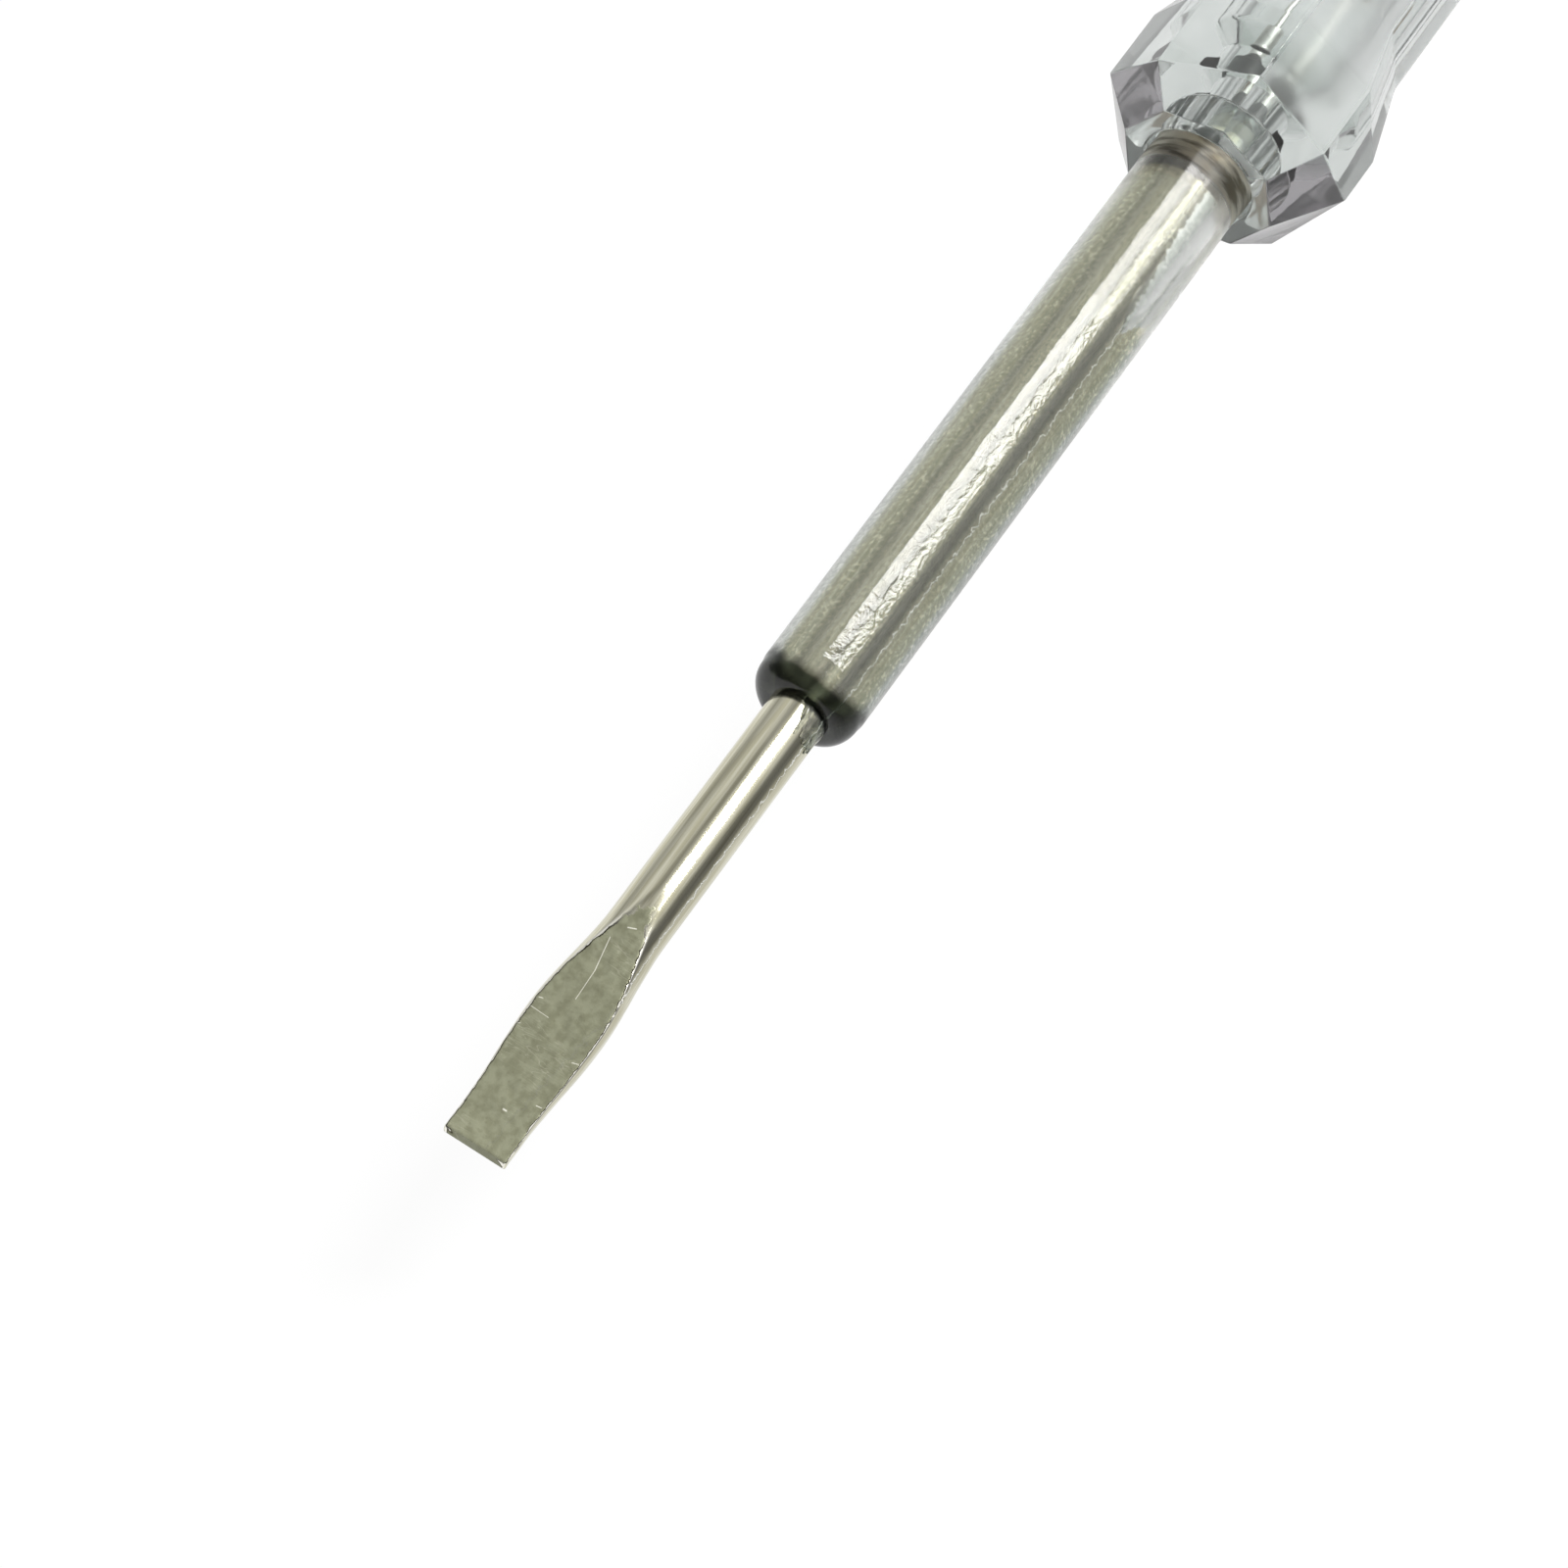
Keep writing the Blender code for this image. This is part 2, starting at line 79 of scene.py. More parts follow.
def placeCamera():
    tilt, lean, slope = (shot[key] * degree for key in ("tilt", "lean", "slope"))
    back = Vector((-math.sin(tilt), -math.cos(tilt) * math.sin(lean), math.cos(tilt) * math.cos(lean)))
    along = Vector((math.cos(tilt), -math.sin(tilt) * math.sin(lean), math.sin(tilt) * math.cos(lean)))
    across = Vector((0, -math.cos(lean), -math.sin(lean)))
    right = along * math.cos(slope) + across * math.sin(slope)
    up = along * math.sin(slope) - across * math.cos(slope)
    aim = Vector((tipX + shot["aimAlong"], 0, axisHeight)) + across * shot["aimAcross"]
    data = bpy.data.cameras.new("shotCamera")
    data.lens = shot["lens"]
    data.sensor_width = shot["sensor"]
    data.clip_start = 10 * mm
    camera = bpy.data.objects.new("shotCamera", data)
    bpy.context.scene.collection.objects.link(camera)
    turned = Matrix((right, up, back)).transposed().to_4x4()
    camera.matrix_world = Matrix.Translation(aim + back * shot["distance"]) @ turned
    bpy.context.scene.camera = camera


placeCamera()
print("camera placed")


# Outlines

def between(start, end, share):
    return start + (end - start) * share


def ease(share):
    share = min(max(share, 0), 1)
    return share * share * (3 - 2 * share)


def softLeast(a, b, reach):
    share = min(max(0.5 + 0.5 * (b - a) / reach, 0), 1)
    return between(b, a, share) - reach * share * (1 - share)


def rounded(corners, steps=6, guard=0.0):
    # Corners are (along, out, radius of the round); a guard adds a point just before and after it
    points = []
    for i, (x, r, fillet) in enumerate(corners):
        if i in (0, len(corners) - 1) or not fillet:
            points.append((x, r))
            continue
        here = Vector((x, r))
        before = Vector(corners[i - 1][:2]) - here
        after = Vector(corners[i + 1][:2]) - here
        farBefore, farAfter = before.length, after.length
        before.normalize()
        after.normalize()
        opening = before.angle(after)
        reach = min(fillet / math.tan(opening / 2), farBefore / 2.1, farAfter / 2.1)
        fillet = reach * math.tan(opening / 2)
        centre = here + (before + after).normalized() * (fillet / math.sin(opening / 2))
        first = here + before * reach - centre
        last = here + after * reach - centre
        sweep = (math.atan2(last.y, last.x) - math.atan2(first.y, first.x) + math.pi) % (2 * math.pi) - math.pi
        start = math.atan2(first.y, first.x)
        if guard and farBefore > 2.2 * (reach + guard):
            points.append(tuple(here + before * (reach + guard)))
        for step in range(steps + 1):
            turn = start + sweep * step / steps
            points.append((centre.x + fillet * math.cos(turn), centre.y + fillet * math.sin(turn)))
        if guard and farAfter > 2.2 * (reach + guard):
            points.append(tuple(here + after * (reach + guard)))
    return points


# Meshes

def bridge(made, ring, after):
    count = max(len(ring), len(after))
    for i in range(count):
        j = (i + 1) % count
        if len(ring) == 1:
            made.faces.new((ring[0], after[j], after[i]))
        elif len(after) == 1:
            made.faces.new((ring[i], ring[j], after[0]))
        else:
            made.faces.new((ring[i], ring[j], after[j], after[i]))


def loft(made, rings, closed=False, capped=False):
    made_rings = [[made.verts.new(point) for point in ring] for ring in rings]
    for ring, after in zip(made_rings, made_rings[1:]):
        bridge(made, ring, after)
    if closed:
        bridge(made, made_rings[-1], made_rings[0])
    if capped:
        made.faces.new(made_rings[0])
        made.faces.new(made_rings[-1])
    return made_rings


def turnedRings(outline, sides):
    rings = []
    for x, r in outline:
        if r < 1e-7:
            rings.append([(x, 0, 0)])
        else:
            turns = (2 * math.pi * i / sides for i in range(sides))
            rings.append([(x, r * math.cos(turn), r * math.sin(turn)) for turn in turns])
    return rings


def makePiece(name, made, smoothAngle=32, centred=False):
    # The shape, drawn round the tool's axis, becomes a plain mesh object at the origin
    bmesh.ops.remove_doubles(made, verts=made.verts, dist=1e-7)
    bmesh.ops.recalc_face_normals(made, faces=made.faces)
    if not centred:
        bmesh.ops.translate(made, verts=made.verts, vec=(0, 0, axisHeight))
    mesh = bpy.data.meshes.new(name)
    made.to_mesh(mesh)
    made.free()
    mesh.shade_smooth()
    mesh.set_sharp_from_angle(angle=smoothAngle * degree)
    piece = bpy.data.objects.new(name, mesh)
    bpy.context.scene.collection.objects.link(piece)
    return piece


def turnedPiece(name, outline, sides=96, closed=False, **settings):
    made = bmesh.new()
    loft(made, turnedRings(outline, sides), closed=closed)
    return makePiece(name, made, **settings)


def applyModifiers(piece, smoothAngle=32):
    # What the modifiers make becomes the piece's own plain mesh
    evaluated = piece.evaluated_get(bpy.context.evaluated_depsgraph_get())
    mesh = bpy.data.meshes.new_from_object(evaluated)
    old = piece.data
    piece.modifiers.clear()
    piece.data = mesh
    mesh.name = piece.name
    bpy.data.meshes.remove(old)
    if smoothAngle:
        mesh.shade_smooth()
        mesh.set_sharp_from_angle(angle=smoothAngle * degree)
    return piece


def combine(piece, other, operation="UNION"):
    cut = piece.modifiers.new(operation, "BOOLEAN")
    cut.operation = operation
    cut.solver = "EXACT"
    cut.object = other
    applyModifiers(piece)
    bpy.data.objects.remove(other)
    return piece


def joinMeshes(name, pieces, smoothAngle=35):
    # Several bodies of one piece in one mesh
    made = bmesh.new()
    for piece in pieces:
        made.from_mesh(piece.data)
        bpy.data.objects.remove(piece)
    mesh = bpy.data.meshes.new(name)
    made.to_mesh(mesh)
    made.free()
    mesh.shade_smooth()
    mesh.set_sharp_from_angle(angle=smoothAngle * degree)
    joined = bpy.data.objects.new(name, mesh)
    bpy.context.scene.collection.objects.link(joined)
    return joined


def seat(piece, body, slot, material, *nodes):
    piece.data.materials.clear()
    piece.data.materials.append(material)
    if body:
        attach(piece, body)
    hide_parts(*nodes)
    print("made", piece.name, "with", len(piece.data.polygons), "faces")
    return piece


# Node trees

def addNode(tree, kind, sockets=None, **settings):
    # A socket's value is another node's output or a constant
    node = tree.nodes.new(kind)
    for name, value in settings.items():
        setattr(node, name, value)
    for name, value in (sockets or {}).items():
        if isinstance(value, bpy.types.NodeSocket):
            tree.links.new(value, node.inputs[name])
        else:
            node.inputs[name].default_value = value
    return node


def mathNode(tree, operation, first, second=0.0, clamp=False):
    node = addNode(tree, "ShaderNodeMath", {0: first, 1: second}, operation=operation, use_clamp=clamp)
    return node.outputs[0]


def blendNode(tree, share, first, second):
    node = addNode(tree, "ShaderNodeMix", data_type="RGBA")
    for index, value in ((0, share), (6, first), (7, second)):
        if isinstance(value, bpy.types.NodeSocket):
            tree.links.new(value, node.inputs[index])
        elif index:
            node.inputs[index].default_value = (*value, 1.0)
        else:
            node.inputs[index].default_value = value
    return node.outputs[2]


def rangeNode(tree, value, low, high, newLow=0.0, newHigh=1.0, smooth=True):
    node = addNode(
        tree, "ShaderNodeMapRange",
        {"Value": value, "From Min": low, "From Max": high, "To Min": newLow, "To Max": newHigh},
        interpolation_type="SMOOTHSTEP" if smooth else "LINEAR",
    )
    return node.outputs[0]


def rampNode(tree, value, stops):
    # Grey levels at given shares, joined by straight runs
    node = addNode(tree, "ShaderNodeValToRGB", {0: value})
    elements = node.color_ramp.elements
    elements.remove(elements[1])
    for i, (share, level) in enumerate(stops):
        element = elements.new(share) if i else elements[0]
        element.position = share
        element.color = (level, level, level, 1)
    return node.outputs[0]


def makeGroup(name, inputs, outputs):
    group = bpy.data.node_groups.new(name, "ShaderNodeTree")
    for title, kind, value in inputs:
        socket = group.interface.new_socket(name=title, in_out="INPUT", socket_type=kind)
        if value is not None:
            socket.default_value = value
    for title, kind in outputs:
        group.interface.new_socket(name=title, in_out="OUTPUT", socket_type=kind)
    return group, addNode(group, "NodeGroupInput"), addNode(group, "NodeGroupOutput")


def useGroup(tree, group, sockets):
    return addNode(tree, "ShaderNodeGroup", sockets, node_tree=group)


def toolPlace(tree):
    # Where a point lies round the tool's axis
    place = addNode(tree, "ShaderNodeTexCoord").outputs["Object"]
    return addNode(tree, "ShaderNodeMapping", {"Vector": place, "Location": (0, 0, -axisHeight)}).outputs[0]


def buildGrainGroup():
    # Streaks drawn out along the tool, as drawing and polishing leave them
    group, given, result = makeGroup(
        "longGrain",
        [("Vector", "NodeSocketVector", None), ("Along", "NodeSocketFloat", 200.0),
         ("Across", "NodeSocketFloat", 4000.0), ("Detail", "NodeSocketFloat", 4.0)],
        [("Value", "NodeSocketFloat")],
    )
    stretch = addNode(group, "ShaderNodeCombineXYZ", {
        "X": given.outputs["Along"], "Y": given.outputs["Across"], "Z": given.outputs["Across"],
    })
    place = addNode(group, "ShaderNodeVectorMath", {0: given.outputs["Vector"], 1: stretch.outputs[0]},
                    operation="MULTIPLY")
    streaks = addNode(group, "ShaderNodeTexNoise", {
        "Vector": place.outputs[0], "Scale": 1.0, "Detail": given.outputs["Detail"],
    })
    group.links.new(streaks.outputs["Fac"], result.inputs["Value"])
    return group


def buildScratchGroup():
    # Thin crossing scratches in patches, and the dust of pits between them
    group, given, result = makeGroup(
        "fineScratches",
        [("Vector", "NodeSocketVector", None), ("Scale", "NodeSocketFloat", 500.0),
         ("Width", "NodeSocketFloat", 0.012), ("Amount", "NodeSocketFloat", 0.5)],
        [("Lines", "NodeSocketFloat"), ("Pits", "NodeSocketFloat")],
    )
    lines = None
    for turn, stretch in ((0.5, 5.0), (2.1, 7.0), (1.2, 9.0)):
        place = addNode(group, "ShaderNodeMapping", {
            "Vector": given.outputs["Vector"], "Rotation": (turn, turn / 2, turn), "Scale": (stretch, 1, 1),
        })
        field = addNode(group, "ShaderNodeTexNoise", {
            "Vector": place.outputs[0], "Scale": given.outputs["Scale"], "Detail": 1.0,
        })
        away = mathNode(group, "ABSOLUTE", mathNode(group, "SUBTRACT", field.outputs["Fac"], 0.5))
        line = addNode(group, "ShaderNodeMapRange", {
            "Value": away, "From Min": 0.0, "From Max": given.outputs["Width"], "To Min": 1.0, "To Max": 0.0,
        }).outputs[0]
        lines = line if lines is None else mathNode(group, "MAXIMUM", lines, line)
    patches = addNode(group, "ShaderNodeTexNoise", {
        "Vector": given.outputs["Vector"], "Scale": mathNode(group, "MULTIPLY", given.outputs["Scale"], 0.8),
        "Detail": 3.0,
    })
    where = rangeNode(group, patches.outputs["Fac"], 0.48, 0.62)
    shown = mathNode(group, "MULTIPLY", mathNode(group, "MULTIPLY", lines, where), given.outputs["Amount"])
    pits = addNode(group, "ShaderNodeTexVoronoi", {
        "Vector": given.outputs["Vector"], "Scale": mathNode(group, "MULTIPLY", given.outputs["Scale"], 6.0),
    })
    dots = rangeNode(group, pits.outputs["Distance"], 0.10, 0.22, 1.0, 0.0)
    group.links.new(shown, result.inputs["Lines"])
    group.links.new(mathNode(group, "MULTIPLY", dots, given.outputs["Amount"]), result.inputs["Pits"])
    return group


def buildMarkGroup():
    # One straight scratch from a start to an end
    group, given, result = makeGroup(
        "scratchMark",
        [("Vector", "NodeSocketVector", None), ("Start", "NodeSocketVector", None),
         ("End", "NodeSocketVector", None), ("Width", "NodeSocketFloat", 0.0001)],
        [("Mask", "NodeSocketFloat")],
    )

    def vectorNode(operation, first, second=None, output=0):
        node = addNode(group, "ShaderNodeVectorMath", {0: first}, operation=operation)
        if second is not None:
            group.links.new(second, node.inputs[1])
        return node.outputs[output]

    way = vectorNode("SUBTRACT", given.outputs["End"], given.outputs["Start"])
    here = vectorNode("SUBTRACT", given.outputs["Vector"], given.outputs["Start"])
    share = mathNode(group, "DIVIDE", vectorNode("DOT_PRODUCT", here, way, 1),
                     vectorNode("DOT_PRODUCT", way, way, 1), clamp=True)
    nearest = addNode(group, "ShaderNodeVectorMath", {0: way, "Scale": share}, operation="SCALE").outputs[0]
    away = vectorNode("LENGTH", vectorNode("SUBTRACT", here, nearest), output=1)
    mask = addNode(group, "ShaderNodeMapRange", {
        "Value": away, "From Min": 0.0, "From Max": given.outputs["Width"], "To Min": 1.0, "To Max": 0.0,
    })
    group.links.new(mask.outputs[0], result.inputs["Mask"])
    return group


def buildMouldedGroup():
    # The slow waves of a moulded clear surface, with a finer ripple
    group, given, result = makeGroup(
        "mouldedWaves",
        [("Vector", "NodeSocketVector", None), ("Slow", "NodeSocketFloat", 300.0),
         ("Fine", "NodeSocketFloat", 1500.0), ("Fine Share", "NodeSocketFloat", 0.2)],
        [("Height", "NodeSocketFloat")],
    )
    slow = addNode(group, "ShaderNodeTexNoise", {
        "Vector": given.outputs["Vector"], "Scale": given.outputs["Slow"], "Detail": 1.0, "Distortion": 0.6,
    })
    fine = addNode(group, "ShaderNodeTexNoise", {
        "Vector": given.outputs["Vector"], "Scale": given.outputs["Fine"], "Detail": 3.0,
    })
    share = mathNode(group, "MULTIPLY", fine.outputs["Fac"], given.outputs["Fine Share"])
    group.links.new(mathNode(group, "ADD", slow.outputs["Fac"], share), result.inputs["Height"])
    return group


grainGroup = buildGrainGroup()
scratchGroup = buildScratchGroup()
markGroup = buildMarkGroup()
mouldedGroup = buildMouldedGroup()
print("shader groups built")


def startMaterial(name):
    material = bpy.data.materials.new(name)
    material.use_nodes = True
    tree = material.node_tree
    tree.nodes.clear()
    return material, tree, addNode(tree, "ShaderNodeOutputMaterial")


def bumpNode(tree, height, distance, strength=1.0):
    node = addNode(tree, "ShaderNodeBump", {"Height": height, "Distance": distance, "Strength": strength})
    return node.outputs[0]


def metalMaterial(name, bright, dull, roughness, across=5000.0, along=250.0, scratches=0.5, depth=0.002 * mm,
                  paintedShadeUntil=None):
    # Plated metal: two tones in long streaks, uneven roughness, fine scratches and pits. Nearer the tip
    # than a given end it is painted nearly black, as painted shade.
    material, tree, output = startMaterial(name)
    place = toolPlace(tree)
    grain = useGroup(tree, grainGroup, {"Vector": place, "Along": along, "Across": across}).outputs[0]
    marks = useGroup(tree, scratchGroup, {"Vector": place, "Scale": 350.0, "Amount": scratches})
    tone = rangeNode(tree, grain, 0.35, 0.65)
    colour = blendNode(tree, tone, dull, bright)
    colour = blendNode(tree, mathNode(tree, "MULTIPLY", marks.outputs["Pits"], 0.5), colour, (0.16, 0.14, 0.09))
    # Painted shade: nearly black short of the given end
    if paintedShadeUntil is not None:
        station = addNode(tree, "ShaderNodeSeparateXYZ", {0: place}).outputs[0]
        unshaded = rangeNode(tree, station, paintedShadeUntil - 0.1 * mm, paintedShadeUntil + 0.1 * mm)
        colour = blendNode(tree, unshaded, (0.014, 0.012, 0.012), colour)
    rough = mathNode(tree, "ADD", mathNode(tree, "MULTIPLY", grain, 0.12), roughness - 0.06)
    rough = mathNode(tree, "ADD", rough, mathNode(tree, "MULTIPLY", marks.outputs["Lines"], 0.2))
    height = mathNode(tree, "SUBTRACT", grain, mathNode(tree, "MULTIPLY", marks.outputs["Lines"], 0.8))
    shader = addNode(tree, "ShaderNodeBsdfPrincipled", {
        "Base Color": colour, "Roughness": rough, "Metallic": 1.0, "Normal": bumpNode(tree, height, depth),
    })
    tree.links.new(shader.outputs[0], output.inputs[0])
    return material


def clearMaterial(name, tint, deep, ior, slow, fine, fineShare, depth, roughness=0.0, clear=1.0, dress=None):
    # Clear plastic or glass. Lamps shine through it, so that what it holds is lit.
    material, tree, output = startMaterial(name)
    place = toolPlace(tree)
    waves = useGroup(tree, mouldedGroup, {
        "Vector": place, "Slow": slow, "Fine": fine, "Fine Share": fineShare,
    }).outputs[0]
    colour = blendNode(tree, rangeNode(tree, waves, 0.4, 0.8), tint, deep)
    sockets = {
        "Base Color": colour, "Roughness": roughness, "IOR": ior, "Transmission Weight": clear,
        "Normal": bumpNode(tree, waves, depth),
    }
    if dress:
        sockets.update(dress(tree, place, colour))
    shader = addNode(tree, "ShaderNodeBsdfPrincipled", sockets)
    through = addNode(tree, "ShaderNodeBsdfTransparent", {"Color": (0.94, 0.95, 0.95, 1)})
    path = addNode(tree, "ShaderNodeLightPath")
    mix = addNode(tree, "ShaderNodeMixShader", {
        0: path.outputs["Is Shadow Ray"], 1: shader.outputs[0], 2: through.outputs[0],
    })
    tree.links.new(mix.outputs[0], output.inputs[0])
    return material


# Blade

blade = {
    "turn": 17.5,  # the flats' angle round the axis, in degrees
    "rodRadius": 1.5 * mm,
    "tipWidth": 3.3 * mm,
    "tipThickness": 0.6 * mm,
    "tipStraight": 1.4 * mm,
    "widest": 3.9 * mm,
    "widestAt": 7.6 * mm,
    "neckAt": 13.9 * mm,
    "flatsEnd": 14.8 * mm,
    "flatsPower": 1.25,
    "edgeRound": 0.07 * mm,
    "earSpan": 4.3 * mm,
    "earThickness": 1.1 * mm,
    "earLength": 1.4 * mm,
    "earRamp": 0.5 * mm,
    "earBehind": 0.6 * mm,
    "endChamfer": 0.3 * mm,
    "tipRound": 0.05 * mm,
    "sectionPoints": 40,  # in each quarter
    "unevenness": 0.010 * mm,
}


def bladeHalfWidth(x):
    if x <= blade["widestAt"]:
        share = (x - blade["tipStraight"]) / (blade["widestAt"] - blade["tipStraight"])
        return between(blade["tipWidth"], blade["widest"], ease(share)) / 2
    share = (x - blade["widestAt"]) / (blade["neckAt"] - blade["widestAt"])
    return between(blade["widest"], 2 * blade["rodRadius"], ease(share)) / 2


def bladeHalfThickness(x):
    share = max(x, 0) / blade["flatsEnd"]
    return between(blade["tipThickness"] / 2, blade["rodRadius"], share ** blade["flatsPower"])


def bladeSection(x, earShare):
    # One quarter of the cross-section, from the width's end to the middle of the flat, and how flat it is
    wide, thick = bladeHalfWidth(x), bladeHalfThickness(x)
    samples, steps = [], 240
    for step in range(steps + 1):
        angle = math.pi / 2 * step / steps
        sine, cosine = max(math.sin(angle), 1e-6), max(math.cos(angle), 1e-6)
        cut = thick / sine
        out = softLeast(wide, cut, blade["edgeRound"])
        if earShare > 0:
            span = between(blade["rodRadius"], blade["earSpan"] / 2, earShare)
            ear = softLeast(span / cosine, blade["earThickness"] / 2 / sine, blade["edgeRound"])
            out = max(out, ear)
        flat = min(max(0.5 + (wide - cut) / (0.32 * mm), 0), 1)
        samples.append((out * cosine, out * sine, flat))
    reach = [0.0]
    for before, here in zip(samples, samples[1:]):
        turned = abs(math.atan2(here[1], here[0]) - math.atan2(before[1], before[0]))
        reach.append(reach[-1] + math.dist(before[:2], here[:2]) + 0.4 * mm * turned)
    points, j = [], 0
    for i in range(blade["sectionPoints"] + 1):
        wanted = reach[-1] * i / blade["sectionPoints"]
        while j < steps - 1 and reach[j + 1] < wanted:
            j += 1
        share = (wanted - reach[j]) / max(reach[j + 1] - reach[j], 1e-12)
        points.append([between(a, b, min(share, 1)) for a, b in zip(samples[j], samples[j + 1])])
    return points


def makeBlade(material):
    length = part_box("blade")[1].x - tipX
    stations = [blade["tipRound"] * 0.2, blade["tipRound"]]
    fineStep, coarseStep = 0.12 * mm, 1.0 * mm
    while stations[-1] < blade["flatsEnd"] + 0.6 * mm:
        stations.append(stations[-1] + fineStep)
    earStart = length - blade["earBehind"] - blade["earLength"]
    earEnd = length - blade["earBehind"]
    while stations[-1] < earStart - coarseStep:
        stations.append(stations[-1] + coarseStep)
    while stations[-1] < earEnd + 0.3 * mm:
        stations.append(stations[-1] + fineStep)
    stations += [length - blade["endChamfer"], length]
    made = bmesh.new()
    flatLayer = made.verts.layers.float.new("flat")
    rings = []
    for x in stations:
        earShare = ease(min(x - earStart, earEnd - x) / blade["earRamp"])
        quarter = bladeSection(x, earShare)
        inset = 1.0
        if x < blade["tipRound"]:
            inset = 1 - 0.6 * blade["tipRound"] / (blade["tipWidth"] / 2)
        elif x > length - blade["endChamfer"] / 2:
            inset = 1 - blade["endChamfer"] / blade["rodRadius"]
        around = quarter[:-1] + [[-y, z, f] for y, z, f in reversed(quarter)][:-1]
        around += [[-y, -z, f] for y, z, f in around]
        ring = []
        for y, z, flat in around:
            vert = made.verts.new((x, y * inset, z * inset))
            vert[flatLayer] = flat if x < blade["flatsEnd"] else 0.0
            ring.append(vert)
        rings.append(ring)
    for ring, after in zip(rings, rings[1:]):
        bridge(made, ring, after)
    made.faces.new(rings[0])
    made.faces.new(rings[-1])
    # Hammered and polished by hand, so nothing is quite even near the tip
    for vert in made.verts:
        if vert.co.x < blade["flatsEnd"] + 1 * mm:
            fade = 1 - ease((vert.co.x - blade["flatsEnd"]) / (1 * mm))
            push = noise.noise(vert.co * 900) + 0.4 * noise.noise(vert.co * 3000)
            outward = Vector((0, vert.co.y, vert.co.z)).normalized()
            vert.co += outward * push * blade["unevenness"] * fade
    turn = Matrix.Rotation(blade["turn"] * degree, 4, "X")
    bmesh.ops.transform(made, matrix=Matrix.Translation((tipX, 0, 0)) @ turn, verts=made.verts)
    piece = makePiece("nickelBlade", made, smoothAngle=60)
    return seat(piece, "grip", "nickel_plated_steel", material, "blade")


def onFlat(along, across):
    # A point on the upper flat, from the tip and from its middle line, in the tool's own place
    lift = bladeHalfThickness(along)
    turn = blade["turn"] * degree
    y = across * math.cos(turn) - lift * math.sin(turn)
    z = across * math.sin(turn) + lift * math.cos(turn)
    return (tipX + along, y, z)


